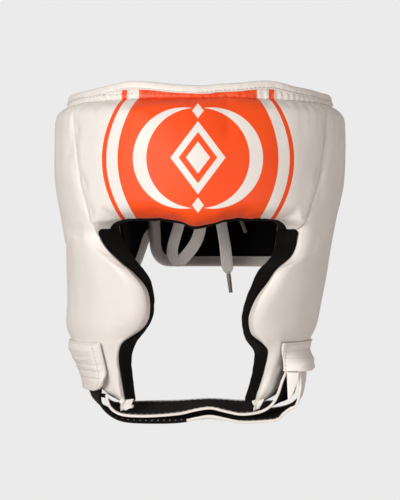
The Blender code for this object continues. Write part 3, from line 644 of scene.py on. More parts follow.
def side_outline(opening, side):
    start = opening[0].drop
    points = []
    for k in range(9):
        turn = mix(SEAM_TOP, SEAM_FOOT, k / 8) + SEAM_CLEARANCE / HOLLOW_FRONT
        points.append((turn, mix(PAD_TOP, -start * GUARD_DROP, k / 8)))
    for k in range(1, 61):
        row = read_row(opening, mix(start, 1, k / 60))
        points.append((math.radians(row.turn), -row.drop * GUARD_DROP))
    points += [(math.radians(row.turn), -row.drop * GUARD_DROP) for row in REAR_EDGE]
    points += [(mix(SIDE_PAD_REACH, SEAM_TOP, k / 6), PAD_TOP) for k in range(6)]
    return [(side * turn, height) for turn, height in points]


def spread_evenly(points, count):
    """The same closed outline with evenly spaced points, measured over the form."""
    flat = [Vector((turn * HOLLOW_FRONT, height)) for turn, height in points + points[:1]]
    lengths = [(b - a).length for a, b in zip(flat, flat[1:])]
    total = sum(lengths)
    even = []
    passed = 0.0
    leg = 0
    for k in range(count):
        target = total * k / count
        while passed + lengths[leg] < target:
            passed += lengths[leg]
            leg += 1
        spot = flat[leg].lerp(flat[leg + 1], (target - passed) / lengths[leg])
        even.append((spot.x / HOLLOW_FRONT, spot.y))
    return even


def beside_opening(opening, turn, height):
    """How far the lining wraps the pad's edge: by the table at the face opening, 0 elsewhere."""
    drop = -height / GUARD_DROP
    away = abs(abs(turn) - math.radians(read_row(opening, drop).turn)) * HOLLOW_FRONT
    row = read_row(WRAP, drop)
    wrapped = row.left if turn < 0 else row.right
    return wrapped * (1 - ease((away - 0.001) / 0.004)) * ease((drop - 0.405) / 0.02)


def side_place(opening, side, count, ragged=0.0, inset=0.0):
    outline = spread_evenly(side_outline(opening, side), count)

    def place(u, v):
        v = crowd_ends(v)
        turn, height = outline[round(u * count) % count]
        if inset:
            wander = 1 + 0.35 * noise.noise(Vector((turn * 30, height * 260, 5)))
            v *= 1 - inset * wander / 0.06 * beside_opening(opening, turn, height)
        turn += ragged * noise.noise(Vector((turn * 40, height * 400, 2))) / HOLLOW_FRONT
        bearing = math.atan2((height + EAR_DROP) / EAR_HALF_HEIGHT,
                             (turn - side * EAR_TURN) * HOLLOW_FRONT / EAR_HALF_WIDTH)
        ear_turn = side * EAR_TURN + EAR_HALF_WIDTH / HOLLOW_FRONT * math.cos(bearing)
        ear_height = EAR_HALF_HEIGHT * math.sin(bearing) - EAR_DROP
        return mix(ear_turn, turn, v), mix(ear_height, height, v)

    return place


def puff(piece, places, ring, cap):
    """Blows the leather up between its seams, then keeps the shape that it takes."""
    held = []
    for k, (u, v, w) in enumerate(places):
        on_edge = v < 0.02 or v > 0.98 or (not ring and (u < 0.02 or u > 0.98))
        if w == 0 or on_edge:
            held.append(k)
    group = piece.vertex_groups.new(name="held")
    group.add(held, 1.0, "REPLACE")
    finer = piece.modifiers["finer"]
    finer.show_viewport = False
    cloth = piece.modifiers.new("Cloth", "CLOTH")
    bpy.context.view_layer.objects.active = piece
    cloth.settings.quality = 4
    cloth.settings.mass = 0.4
    cloth.settings.tension_stiffness = 18
    cloth.settings.compression_stiffness = 18
    cloth.settings.shear_stiffness = 8
    cloth.settings.bending_stiffness = 3
    cloth.settings.vertex_group_mass = "held"
    cloth.settings.use_pressure = True
    cloth.settings.uniform_pressure_force = 4
    cloth.settings.shrink_min = -0.015
    cloth.settings.effector_weights.gravity = 0
    cloth.collision_settings.use_collision = False
    for number in range(1, 21):
        scene.frame_set(number)
    settled = piece.evaluated_get(bpy.context.evaluated_depsgraph_get()).data
    moves = [spot.co - vertex.co for spot, vertex in zip(settled.vertices, piece.data.vertices)]
    piece.modifiers.remove(cloth)
    piece.vertex_groups.remove(group)
    finer.show_viewport = True
    for vertex, move in zip(piece.data.vertices, moves):
        if move.length > cap:
            move *= cap / move.length
        vertex.co += move
    scene.frame_set(1)


def leather(name, colour=(0.86, 0.825, 0.785), shade=(0.80, 0.76, 0.72), creases=1.0):
    """Smooth polyurethane-faced leather: fine pores, faint creases and a soft uneven sheen."""
    nodes = Nodes(name)
    cloud = nodes.grain(22, 3)
    pores = nodes.cells(1500)
    fine = nodes.grain(700, 3)
    crease = nodes.grain(60, 4, (1, 1, 0.35), 0.6)
    base = nodes.mix(cloud.step(0.35, 0.75), shade, colour)
    relief = pores * 0.22 + fine * 0.18 + crease * 0.9 * creases
    return nodes.finish(Base_Color=base, Roughness=cloud * 0.12 + fine * 0.08 + 0.36,
                        Normal=nodes.bump(relief, 0.30, 0.0011), Coat_Weight=0.12, Coat_Roughness=0.35,
                        Subsurface_Weight=0.04, Subsurface_Scale=0.002)


def inside(distance, limit):
    return 1 - distance.step(limit - 0.00015, limit + 0.00015)


def reach(across, up):
    return (across * across + up * up).root()


def printed_leather():
    """The forehead's leather, with a barrel-shaped orange field inside a thin orange line, and in
    it a white lozenge ringed by a second one, between two white crescents and two small lozenges."""
    nodes = Nodes("printed_leather")
    x, _, z = nodes.axes()
    x = x + 0.0015
    side = abs(x)
    rise = z + 0.045
    low = abs(rise)
    outline = side + low * low * 7 - 0.0590
    field = inside(outline, 0)
    border = (1 - inside(outline, 0.0085)) * inside(outline, 0.0119)
    gem = side * 0.80 + low * 0.60
    ring = (1 - inside(gem, 0.0112)) * inside(gem, 0.0160)
    crescent = inside(reach(side - 0.0105, rise), 0.0370) * (1 - inside(reach(side - 0.0010, rise), 0.0366))
    small = inside(side * 0.80 + abs(low - 0.0345) * 0.60, 0.0034)
    white = inside(gem, 0.0070).at_least(ring).at_least(crescent).at_least(small)
    ink = (field * (1 - white)).at_least(border)
    cloud = nodes.grain(22, 3)
    fine = nodes.grain(700, 3)
    plain = nodes.mix(cloud.step(0.35, 0.75), (0.80, 0.76, 0.72), (0.86, 0.825, 0.785))
    orange = nodes.mix(cloud.step(0.3, 0.8), (0.90, 0.072, 0.006), (0.95, 0.088, 0.008))
    relief = nodes.cells(1500) * 0.22 + fine * 0.2 + nodes.grain(60, 4, (1, 1, 0.35), 0.6) * 0.8 + ink * 0.12
    return nodes.finish(Base_Color=nodes.mix(ink, plain, orange), Roughness=cloud * 0.1 + fine * 0.08 + 0.42,
                        Specular_IOR_Level=0.32, Normal=nodes.bump(relief, 0.30, 0.0011))


def brushed_textile(name, colour=(0.0035, 0.0024, 0.0025), pile=(0.022, 0.015, 0.016)):
    """Black brushed tricot with a short pile, which catches a little light."""
    nodes = Nodes(name)
    tufts = nodes.grain(1300, 4, rough=0.7)
    patches = nodes.grain(90, 3)
    share = tufts.step(0.45, 0.8) * patches.step(0.3, 0.8)
    return nodes.finish(Base_Color=nodes.mix(share, colour, pile), Roughness=0.95,
                        Specular_IOR_Level=0.08, Sheen_Weight=0.03, Sheen_Roughness=0.5,
                        Normal=nodes.bump(tufts, 0.9, 0.0008))


white = leather("white_leather")
print_white = printed_leather()
lining_cloth = brushed_textile("brushed_lining")


def pads():
    forehead, places = patch("forehead_leather", 84, 40, brow_place(0), pad_depths, [print_white])
    puff(forehead, places, False, 0.0012)
    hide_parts("forehead_pad")
    under, _ = patch("forehead_lining", 110, 10, brow_place(LINING_SHOW), lining_depths, [lining_cloth])
    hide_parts("lining_forehead")
    for name, side, opening in (("left", -1, OPENING_LEFT), ("right", 1, OPENING_RIGHT)):
        rim_place = side_place(opening, side, 160)
        skin_place = side_place(opening, side, 160, inset=WRAP_INSET)

        def wrapping(rim_at, u, v, turn, height):
            """Distance from the pad's edge, and how far the lining wraps over it there."""
            here = on_form(turn, height, 0.01)
            edge = min((on_form(*rim_at(u, end), 0.01) - here).length for end in (0, 1))
            wrap = beside_opening(opening, *rim_at(u, 1)) if v > 0.5 else 0
            return edge, wrap * (1 - ease((edge - WRAP_INSET) / WRAP_REACH))

        def skin(u, v, w):
            turn, height = skin_place(u, v)
            edge, wrap = wrapping(rim_place, u, v, turn, height)
            inner, outer = pad_depths(turn, height, edge)
            return on_form(turn, height, mix(mix(inner, outer - SKIN, wrap), outer, w))

        pad, places = slab("side_leather_" + name, 160, 30, skin, [white], ring=True)
        puff(pad, places, True, 0.0008)
        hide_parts("side_pad_" + name)
        lining_place = side_place(opening, side, 260, 0.0010)

        def lining(u, v, w):
            turn, height = lining_place(u, v)
            edge, wrap = wrapping(lining_place, u, v, turn, height)
            inner, outer = lining_depths(turn, height, edge)
            cover = pad_depths(turn, height, edge)[1] - SKIN * 1.1 + fuzz(turn, height, 0.0003)
            return on_form(turn, height, mix(inner, mix(outer, cover, wrap), w))

        under, _ = slab("side_lining_" + name, 260, 24, lining, [lining_cloth], ring=True)
        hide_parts("lining_" + name)


pads()

# Rear flaps: two thin padded leather flaps, lined in black, sewn to the side pads and lapped
# over each other at the back. A folded strip of white leather is stitched over their edges.
FLAP_THICKNESS = 0.0090
FLAP_LINING = 0.0022
FLAP_EDGE_SHARE = 0.6
FLAP_CLIMB = math.radians(14)
BINDING_WIDTH = 0.0090
BINDING_CLEARANCE = 0.0003
LAYER_CLEARANCE = 0.0016
FLAP_CLEARANCE = 0.0002
RIGHT_FLAP_REACH = math.radians(209)
RIGHT_FLAP_DROP = 0.126
LEFT_FLAP_REACH = math.radians(190)
LEFT_FLAP_DROP = 0.132
NOTCH_RISE = 0.031
NOTCH_START = math.radians(145)
NOTCH_END = math.radians(155)
FLAP_CORNER = 0.020
FLAP_ROUND = 0.005
FLAP_COLUMNS = 60
END_COLUMNS = 24


def flap_edge(side, reach, lower, inset):
    """The flap's edge at a share along it, and the places inside that edge."""
    end = reach - inset / HOLLOW_BACK
    radius = FLAP_CORNER - inset
    centre = reach - FLAP_CORNER / HOLLOW_BACK
    start = SIDE_PAD_REACH + FLAP_CLEARANCE / HOLLOW_BACK
    corner = FLAP_COLUMNS / (FLAP_COLUMNS + END_COLUMNS)

    def low(turn):
        past = min(max((turn - centre) * HOLLOW_BACK, 0.0), radius)
        rolled = [lower(turn + k / 6 * inset / HOLLOW_BACK) + inset * math.sqrt(1 - k * k / 36)
                  for k in range(-6, 7)]
        return max(rolled) + radius - math.sqrt(radius * radius - past * past)

    def place(share):
        if share < corner:
            turn = mix(start, end, math.sin(math.pi / 2 * share / corner))
            return side * turn, low(turn)
        return side * end, mix(low(end), PAD_TOP, (share - corner) / (1 - corner))

    def inside(u, v):
        turn = mix(start, end, math.sin(math.pi / 2 * u))
        return side * turn, mix(low(turn), PAD_TOP, crowd_ends(v))

    return place, inside


def right_lower(turn):
    return -RIGHT_FLAP_DROP


def left_lower(turn):
    return -LEFT_FLAP_DROP + NOTCH_RISE * ease((abs(turn) - NOTCH_START) / (NOTCH_END - NOTCH_START))


def stitches(name, spots, material, length=0.0022, radius=0.00032):
    """Short rounded stitches at (point, direction) spots, as one piece."""
    work = bmesh.new()
    for point, along in spots:
        turned = along.to_track_quat("Z", "Y").to_matrix().to_4x4()
        scale = Matrix.Diagonal((radius, radius, length / 2, 1))
        bmesh.ops.create_icosphere(work, subdivisions=1, radius=1,
                                   matrix=Matrix.Translation(point) @ turned @ scale)
    piece = add_piece(name, work, [material])
    return piece


def walk(line, spacing):
    """Evenly spaced (point, direction) spots along a list of points."""
    spots = []
    want = spacing / 2
    passed = 0.0
    for a, b in zip(line, line[1:]):
        leg = (b - a).length
        while passed + leg > want:
            spots.append((a.lerp(b, (want - passed) / leg), (b - a).normalized()))
            want += spacing
        passed += leg
    return spots


def sewing_thread(name, dark, light):
    nodes = Nodes(name)
    return nodes.finish(Base_Color=nodes.mix(nodes.grain(900, 2), dark, light),
                        Roughness=0.7, Normal=nodes.bump(nodes.grain(2500, 2), 0.5, 0.0002))


# The thread of the rim, flaps and crown is a real thread, coloured a darker beige than the leather as painted
# shade of the stitch holes and grooves it sits in.
thread = sewing_thread("thread_with_painted_stitch_shade", (0.38, 0.29, 0.23), (0.55, 0.46, 0.39))


def rear_flap(name, side, reach, lower, layer):
    def base(turn):
        return layer * ease((abs(turn) - SIDE_PAD_REACH) / FLAP_CLIMB)

    def leather_depths(turn, height, edge):
        inner = base(turn) + FLAP_LINING + PAD_STEP
        outer = base(turn) + FLAP_THICKNESS + 0.0005 * noise.noise(Vector((turn * 14, height * 70, 4)))
        return inner, mix(inner, outer, mix(FLAP_EDGE_SHARE, 1, round_off(edge, FLAP_ROUND)))

    def flap_lining_depths(turn, height, edge):
        return base(turn) + fuzz(turn, height, 0.00015), base(turn) + FLAP_LINING

    _, inside = flap_edge(side, reach, lower, BINDING_WIDTH - BINDING_CLEARANCE)
    outer_leather, _ = patch("rear_leather_" + name, FLAP_COLUMNS, 24, inside, leather_depths, [white])
    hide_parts("rear_flap_" + name)
    cloth, _ = patch("rear_lining_cloth_" + name, FLAP_COLUMNS, 24, inside, flap_lining_depths, [lining_cloth])
    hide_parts("rear_lining_" + name)
    outer_edge, _ = flap_edge(side, reach, lower, 0)
    inner_edge, _ = flap_edge(side, reach, lower, BINDING_WIDTH)
    half = FLAP_THICKNESS / 2

    def bound(u, v, w):
        a = outer_edge(u)
        b = inner_edge(u)
        round_edge = math.sqrt(max(1 - (1 - min(v / 0.45, 1)) ** 2, 0.05))
        groove = 0.0005 * math.exp(-((v - 0.78) / 0.07) ** 2)
        ripple = 0.0003 * noise.noise(Vector((a[0] * 30, a[1] * 200, v * 2)))
        spread = half * mix(0.45, 1.06, round_edge) - groove + ripple
        return on_form(mix(a[0], b[0], v), mix(a[1], b[1], v), base(a[0]) + half + spread * (2 * w - 1))

    columns = FLAP_COLUMNS + END_COLUMNS
    binding, _ = slab("rear_bound_edge_" + name, columns, 10, bound, [white])
    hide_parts("rear_binding_" + name)
    spots = []
    for w in (0, 1):
        spots += walk([bound(k / columns, 0.78, w) for k in range(columns + 1)], 0.0034)
    stitches("rear_edge_stitches_" + name, spots, thread)


rear_flap("right", 1, RIGHT_FLAP_REACH, right_lower, 0.0)
rear_flap("left", -1, LEFT_FLAP_REACH, left_lower, FLAP_THICKNESS + LAYER_CLEARANCE)

# Rim: a strip of thin leather gathered in small pleats rises from the pads' top, and a folded
# leather band is stitched round its upper edge, with a lip left below the stitches.
RIM_SHARE = 0.62
RIM_HEIGHT = 0.0070
RIM_THICKNESS = 0.0044
RIM_TOP = 0.0095
RIM_WAVE = 0.0045
WAVE_TURN = math.radians(28)
WAVE_SPREAD = math.radians(16)
GATHER_THICKNESS = 0.0026
STRIP_REAR_DEPTH = 0.0020
BAND_JOIN = math.radians(4.5)
RIM_STEPS = 360
RIM_SECTION = [
    (0.00, 0.02), (0.42, 0.00), (0.70, 0.06), (0.72, 0.14), (0.42, 0.21), (0.44, 0.26), (0.50, 0.40),
    (0.50, 0.62), (0.46, 0.80), (0.30, 0.94), (0.00, 1.00), (-0.30, 0.94), (-0.46, 0.80), (-0.50, 0.50),
    (-0.48, 0.22), (-0.50, 0.08), (-0.30, 0.02),
]
GATHER_SECTION = [(-0.5, 0.0)] + [(0.5, k / 5) for k in range(6)] + [(-0.5, 1.0)]


def rim_height(turn):
    return RIM_TOP + RIM_WAVE * math.exp(-((abs(turn) - WAVE_TURN) / WAVE_SPREAD) ** 2)


def ring_on_form(name, section, shape, materials):
    """A closed ring round the form: a section turned once, then laid by shape(turn, a, b)."""
    work = bmesh.new()
    corners = [work.verts.new((1 + a * 0.1, 0, b * 0.1)) for a, b in section]
    loop = [work.edges.new((corners[k - 1], corners[k])) for k in range(len(corners))]
    bmesh.ops.spin(work, geom=corners + loop, cent=(0, 0, 0), axis=(0, 0, 1), dvec=(0, 0, 0),
                   angle=2 * math.pi, steps=RIM_STEPS, use_merge=True, use_duplicate=False)
    for vert in work.verts:
        turn = math.atan2(vert.co.x, -vert.co.y)
        vert.co = shape(turn, (vert.co.xy.length - 1) * 10, vert.co.z * 10)

    def pick(polygon):
        return 0 if polygon.normal.xy.dot(polygon.center.xy) > 0 else len(materials) - 1

    return add_piece(name, work, materials, pick, levels=1)


def lay_band(turn, across, up):
    past = turn - BAND_JOIN
    lapped = ease(past / math.radians(1.2)) * math.exp(-max(past, 0) / 0.25)
    top = rim_height(turn) + 0.0006 * noise.noise(Vector((turn * 5, 0, 6))) + 0.0006 * lapped
    ripple = 0.0005 * noise.noise(Vector((turn * 36, up * 1.5, 7)))
    depth = RIM_SHARE * wall_at(turn, 0) + across * RIM_THICKNESS + ripple + 0.0007 * lapped
    return on_form(turn, top - RIM_HEIGHT * (1 - up), depth)


def pleats(turn):
    wander = 0.35 * noise.noise(Vector((turn * 7, 0, 8)))
    return math.cos(turn * 118 + 9 * wander) * (0.55 + 0.9 * abs(noise.noise(Vector((turn * 12, 3, 8)))))


def lay_strip(turn, across, up):
    foot = PAD_TOP - 0.0012
    top = rim_height(turn) - RIM_HEIGHT + 0.0010
    swell = 0.0010 * math.sin(math.pi * min(max(up, 0), 1))
    outwards = (swell + 0.0010 * pleats(turn + 0.01 * up) * (1 - 0.45 * up)) if across > 0 else 0.0
    depth = RIM_SHARE * wall_at(turn, 0) + across * GATHER_THICKNESS + outwards
    if across < 0 and up < 0.5:
        depth = mix(depth, STRIP_REAR_DEPTH, ease((abs(turn) - SIDE_PAD_REACH) / FLAP_CLIMB))
    return on_form(turn, mix(foot, top, up), depth)


def printed_strip():
    """The gathered strip's leather: the forehead's orange runs on over it."""
    nodes = Nodes("printed_strip")
    x, y, _ = nodes.axes()
    side = abs(x + 0.0015)
    front = (0 - y).step(0.05, 0.06)
    ink = (1 - side.step(0.0435, 0.0440)).at_least(side.step(0.0525, 0.0530) * (1 - side.step(0.0565, 0.0570)))
    worn = nodes.grain(260, 3)
    orange = nodes.mix(worn.step(0.35, 0.7), (0.80, 0.055, 0.006), (0.93, 0.12, 0.03))
    plain = nodes.mix(worn, (0.76, 0.72, 0.68), (0.86, 0.825, 0.785))
    return nodes.finish(Base_Color=nodes.mix(ink * front, plain, orange), Roughness=worn * 0.15 + 0.36,
                        Normal=nodes.bump(nodes.grain(420, 4, (1, 1, 0.4)), 0.5, 0.0008))


def rim():
    band = ring_on_form("rim_leather", RIM_SECTION, lay_band, [leather("rim_leather_skin", creases=1.6)])
    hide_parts("rim_band")
    strip = ring_on_form("gathered_leather", GATHER_SECTION, lay_strip, [printed_strip(), white])
    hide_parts("gathered_strip")
    line = [lay_band(2 * math.pi * k / 400, 0.47, 0.235) for k in range(401)]
    inside = [lay_band(2 * math.pi * k / 400, -0.50, 0.235) for k in range(401)]
    stitches("rim_stitches", walk(line, 0.0034) + walk(inside, 0.0034), thread)


rim()

# Crown: two leather flaps sewn inside the pads' top, with three eyelets each and one lace
# crossed through them, which draws the pads round the top of the head.
CROWN_SAG = 0.024
CROWN_THICKNESS = 0.003
CROWN_CLEARANCE = 0.0006
CROWN_END = math.radians(14)
LACE_GAP = 0.012
EYELET_ACROSS = 0.014
EYELET_SPACING = 0.034
EYELET_RADIUS = 0.0045
EYELET_WIRE = 0.0010
CROWN_LACE_THICKNESS = 0.0016
CROWN_LACE_WIDTH = 0.0066


def crown_height(x, y):
    reach = HOLLOW_FRONT if y < 0 else HOLLOW_BACK
    return -CROWN_SAG * ((x / HOLLOW_HALF_WIDTH) ** 2 + (y / reach) ** 2)


def crown_flap(name, side):
    def shape(u, v, w):
        turn = side * mix(CROWN_END, math.pi - CROWN_END, u)
        rim_point = on_form(turn, -CROWN_SAG + CROWN_THICKNESS * w, -CROWN_CLEARANCE)
        x = mix(side * LACE_GAP / 2, rim_point.x, v)
        y = rim_point.y
        bead = 0.0006 * math.exp(-((v - 0.05) / 0.04) ** 2) * w
        ripple = 0.0006 * noise.noise(Vector((x * 40, y * 40, 11)))
        return Vector((x, y, crown_height(x, y) + CROWN_THICKNESS * w + bead + ripple))

    flap, _ = slab("crown_leather_" + name, 60, 24, shape, [white])
    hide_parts("crown_flap_" + name)
    line = [shape(k / 80, 0.11, 1) + Vector((0, 0, 0.0001)) for k in range(3, 78)]
    stitches("crown_stitches_" + name, walk(line, 0.0034), thread)


def brushed_metal():
    nodes = Nodes("nickel_eyelet")
    return nodes.finish(Base_Color=nodes.mix(nodes.grain(400, 2), (0.52, 0.51, 0.50), (0.70, 0.69, 0.67)),
                        Metallic=1.0, Roughness=nodes.grain(900, 2) * 0.2 + 0.22,
                        Normal=nodes.bump(nodes.grain(1500, 2), 0.15, 0.0002))


def eyelets(metal):
    number = 0
    for row in (-1, 0, 1):
        for side in (-1, 1):
            number += 1
            x = side * EYELET_ACROSS
            y = row * EYELET_SPACING
            step = EYELET_RADIUS
            along = Vector((2 * step, 0, crown_height(x + step, y) - crown_height(x - step, y)))
            back = Vector((0, 2 * step, crown_height(x, y + step) - crown_height(x, y - step)))
            normal = along.cross(back).normalized()
            seat = Vector((x, y, crown_height(x, y) + CROWN_THICKNESS)) + normal * EYELET_WIRE * 0.7
            work = bmesh.new()
            made = bmesh.ops.create_circle(work, segments=12, radius=EYELET_WIRE)
            for vert in made["verts"]:
                vert.co = (EYELET_RADIUS - EYELET_WIRE + vert.co.x * 1.2, 0, vert.co.y * 0.8)
            bmesh.ops.spin(work, geom=work.verts[:] + work.edges[:], cent=(0, 0, 0), axis=(0, 0, 1),
                           dvec=(0, 0, 0), angle=2 * math.pi, steps=36, use_merge=True, use_duplicate=False)
            bmesh.ops.transform(work, matrix=Matrix.Translation(seat)
                                @ normal.to_track_quat("Z", "Y").to_matrix().to_4x4(), verts=work.verts[:])
            ring = add_piece("eyelet_ring_%d" % number, work, [metal])
            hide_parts("crown_eyelet_%d" % number)


def crown_lacing():
    seat = 2 * EYELET_WIRE + 0.0006
    columns = 72
    for name, start, lift in (("a", -1, 0.0), ("b", 1, 1.2 * CROWN_LACE_THICKNESS)):
        route = []
        for row in (-1, 0, 1):
            x = EYELET_ACROSS * (start if row != 0 else -start)
            y = row * EYELET_SPACING
            route.append((x, y, crown_height(x, y) + CROWN_THICKNESS + seat))
            if row < 1:
                y += EYELET_SPACING / 2
                route.append((0, y, crown_height(0, y) + CROWN_THICKNESS + seat + lift))
        path = smooth_route(route, columns)

        def shape(u, v, w):
            k = round(u * columns)
            ahead = path[min(k + 1, columns)] - path[max(k - 1, 0)]
            across = Vector((ahead.y, -ahead.x, 0)).normalized()
            dip = -0.0022 * math.exp(-min(k, columns - k) / 3.0)
            crown = 1 - (2 * v - 1) ** 4 * 0.5
            rise = CROWN_LACE_THICKNESS * w * crown + dip
            return path[k] + across * CROWN_LACE_WIDTH * (v - 0.5) + Vector((0, 0, rise))

        lace, _ = slab("crown_cross_lace_" + name, columns, 8, shape, [cotton])
        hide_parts("crown_lace_" + name)


crown_flap("left", -1)
crown_flap("right", 1)
eyelets(brushed_metal())
crown_lacing()

# Chin strap: a long band, white leather outside and black hook and loop inside, edged with
# white piping. It is sewn under the left tab, folds round the right keeper and lies back on itself.
STRAP_HALF_SPAN = 0.080
STRAP_DROP = 0.245
STRAP_FRONT = 0.054
STRAP_REAR = 0.010
STRAP_THICKNESS = 0.0026
STRAP_CLEARANCE = 0.0012
PAD_FOOT = 0.2265
GAP = 0.0004
FOLD_STATION = 21
LOOP_END = 5.5
BARE_EDGE_END = 8.5
Station = namedtuple("Station", "front_across front_drop rear_across rear_drop narrow layer")
STRAP = [
    Station(-1.000, 0.775, -1.160, 0.775, 0.66, 1),
    Station(-0.960, 0.816, -1.140, 0.816, 0.68, 1),
    Station(-0.930, 0.865, -1.110, 0.865, 0.70, 1),
    Station(-0.965, 0.910, -1.100, 0.904, 0.76, 1),
    Station(-0.950, 0.945, -1.050, 0.938, 0.92, 1),
    Station(-0.850, 0.977, -0.930, 0.967, 1, 1),
    Station(-0.710, 0.995, -0.760, 0.978, 1, 1),
    Station(-0.450, 0.999, -0.480, 0.972, 1, 1),
    Station(-0.200, 0.996, -0.210, 0.970, 1, 1),
    Station(-0.040, 0.984, -0.040, 0.966, 1, 1),
    Station(0.100, 0.977, 0.100, 0.964, 1, 1),
    Station(0.240, 0.986, 0.240, 0.967, 1, 1),
    Station(0.400, 0.997, 0.400, 0.971, 1, 1),
    Station(0.600, 0.996, 0.640, 0.972, 1, 1),
    Station(0.745, 0.990, 0.790, 0.968, 1, 1),
    Station(0.800, 0.972, 0.900, 0.958, 1, 1),
    Station(0.865, 0.956, 0.960, 0.944, 1, 1.5),
    Station(0.930, 0.942, 1.010, 0.924, 1, 2),
    Station(0.965, 0.885, 1.040, 0.876, 1, 2),
    Station(0.955, 0.845, 1.050, 0.842, 1, 2),
    Station(0.930, 0.823, 1.060, 0.823, 1, 2),
    Station(0.893, 0.813, 1.040, 0.813, 1, 1.5),
    Station(0.850, 0.822, 1.000, 0.822, 1, 1),
    Station(0.822, 0.844, 0.985, 0.842, 1, 1),
    Station(0.785, 0.872, 0.955, 0.874, 1, 1),
    Station(0.748, 0.908, 0.935, 0.912, 1, 1),
    Station(0.690, 0.943, 0.840, 0.942, 1, 1),
    Station(0.580, 0.966, 0.660, 0.948, 1, 1),
    Station(0.400, 0.974, 0.400, 0.946, 1, 1),
    Station(0.240, 0.964, 0.240, 0.943, 1, 1),
    Station(0.100, 0.954, 0.100, 0.941, 1, 1),
    Station(-0.040, 0.960, -0.040, 0.943, 1, 1),
    Station(-0.200, 0.972, -0.200, 0.946, 1, 1),
    Station(-0.450, 0.979, -0.450, 0.948, 1, 1),
    Station(-0.640, 0.979, -0.690, 0.950, 1, 1),
    Station(-0.770, 0.973, -0.830, 0.953, 1, 1),
    Station(-0.855, 0.955, -0.910, 0.942, 1, 1),
    Station(-0.890, 0.930, -0.945, 0.928, 1, 1),
    Station(-0.897, 0.910, -0.960, 0.916, 1, 1),
]


def keep_clear(point, layer):
    """The point, or where a layer of strap would lie on the pads if it is under that."""
    if point.z < -PAD_FOOT:
        return point
    row = read_row(FORM, -point.z / GUARD_DROP)
    turn = math.atan2(point.x - row.lean * HOLLOW_HALF_WIDTH, -point.y)
    away = wall_at(turn, point.z) + STRAP_CLEARANCE + (STRAP_THICKNESS + GAP) * (layer - 0.5)
    for _ in range(8):
        spot = on_form(turn, point.z, away)
        turn += (math.atan2(point.x, -point.y) - math.atan2(spot.x, -spot.y))
    return spot if spot.xy.length > point.xy.length else point


def hook_and_loop():
    nodes = Nodes("hook_and_loop")
    loops = nodes.cells(900)
    fluff = nodes.grain(1600, 3, rough=0.7)
    share = loops.step(0.2, 0.8) * fluff.step(0.4, 0.8)
    colour = nodes.mix(share, (0.005, 0.004, 0.004), (0.026, 0.021, 0.020))
    return nodes.finish(Base_Color=colour, Roughness=0.9, Specular_IOR_Level=0.12, Sheen_Weight=0.03,
                        Normal=nodes.bump(loops + fluff, 0.9, 0.0008))


def chin_strap():
    count = len(STRAP) - 1
    finer = 5
    columns = count * finer
    keyed = [(k, *row) for k, row in enumerate(STRAP)]
    Spot = namedtuple("Spot", "station front_across front_drop rear_across rear_drop narrow layer")
    keyed = [Spot(*row) for row in keyed]
    rows = [read_row(keyed, k / finer) for k in range(columns + 1)]
    front = [Vector((row.front_across * STRAP_HALF_SPAN, -STRAP_FRONT * row.narrow,
                     -row.front_drop * STRAP_DROP)) for row in rows]
    rear = [Vector((row.rear_across * STRAP_HALF_SPAN, -STRAP_REAR, -row.rear_drop * STRAP_DROP))
            for row in rows]

    def middle(k, v):
        k = min(max(k, 0), columns)
        return keep_clear(front[k].lerp(rear[k], v), rows[k].layer)

    def lay(k, v, w):
        ahead = middle(k + 2, v) - middle(k - 2, v)
        out = Vector((ahead.z, 0, -ahead.x)).normalized()
        edge = min(v, 1 - v)
        piping = 0.0023 * math.sqrt(max(1 - ((edge - 0.024) / 0.028) ** 2, 0.02)) if edge < 0.052 else 0
        body = 0.0016 * (0.96 + 0.1 * noise.noise(Vector((k / 3, v * 6, 13))))
        hump = math.exp(-((k / finer - 10) / 1.6) ** 2)
        sag = Vector((0, 0, -0.0042 * hump * (1 - (2 * v - 1) ** 2) ** 0.5))
        return middle(k, v) + sag + out * max(piping, body) * (w - 0.5)

    shares = [0, 0.004, 0.012, 0.024, 0.038, 0.048, 0.053, 0.08, 0.2, 0.35, 0.5, 0.65, 0.8, 0.92, 0.947,
              0.952, 0.962, 0.976, 0.988, 0.996, 1]

    def shape(u, v, w):
        return lay(round(u * columns), shares[round(v * (len(shares) - 1))], w)

    def kind_of(u, v, w):
        spot = v * (len(shares) - 1)
        station = u * count
        if spot < 6 and station < BARE_EDGE_END:
            return 1
        if spot < 6 or spot > len(shares) - 7:
            return 0
        return 1 if w < 0.5 or station > FOLD_STATION or station < LOOP_END else 0

    strap, _ = slab("strap_band", columns, len(shares) - 1, shape, [white, hook_and_loop()], kind_of=kind_of)
    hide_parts("chin_strap")
    spots = []
    for first, last, w in ((4, 20, 0), (22, count, 1), (4, 20, 1)):
        for v in (0.085, 0.915):
            line = [lay(k, v, w) for k in range(first * finer, last * finer)]
            spots += walk(line, 0.0046)
    pale = sewing_thread("pale_thread", (0.70, 0.66, 0.62), (0.86, 0.83, 0.80))
    stitches("strap_stitches", spots, pale, 0.0014, 0.00036)


chin_strap()

# Tab and keeper: sewn leather pieces over the strap. The left one ends in a round foot, the
# right one holds the fold of the strap and has a narrow tongue. Both are stitched in rows.
TAB_THICKNESS = 0.0026
TAB_STAND = 0.0048
TAB_SEAM = 0.007
TAB_LOOSE = 0.20
TAB_TOP = 0.183
TAB_FOOT = 0.2215
TAB_BACK = math.radians(101)
KEEPER_FOOT = 0.205
KEEPER_SPREAD = 0.75
KEEPER_FRONT = math.radians(44)
TabEdge = namedtuple("TabEdge", "height front back")
TAB_OUTLINE = [
    TabEdge(0.00, 56.0, 82.0), TabEdge(0.04, 51.0, 90.0), TabEdge(0.12, 47.0, 97.0),
    TabEdge(0.30, 44.5, 101.0), TabEdge(0.60, 43.5, 101.0), TabEdge(1.00, 43.0, 101.0),
]
Bend = namedtuple("Bend", "way across forward")
KEEPER_BEND = [
    Bend(0.00, 0.800, 1.070), Bend(0.25, 0.905, 1.085), Bend(0.42, 0.985, 1.060), Bend(0.52, 1.030, 0.960),
    Bend(0.75, 1.072, 0.600), Bend(1.00, 1.105, 0.190),
]
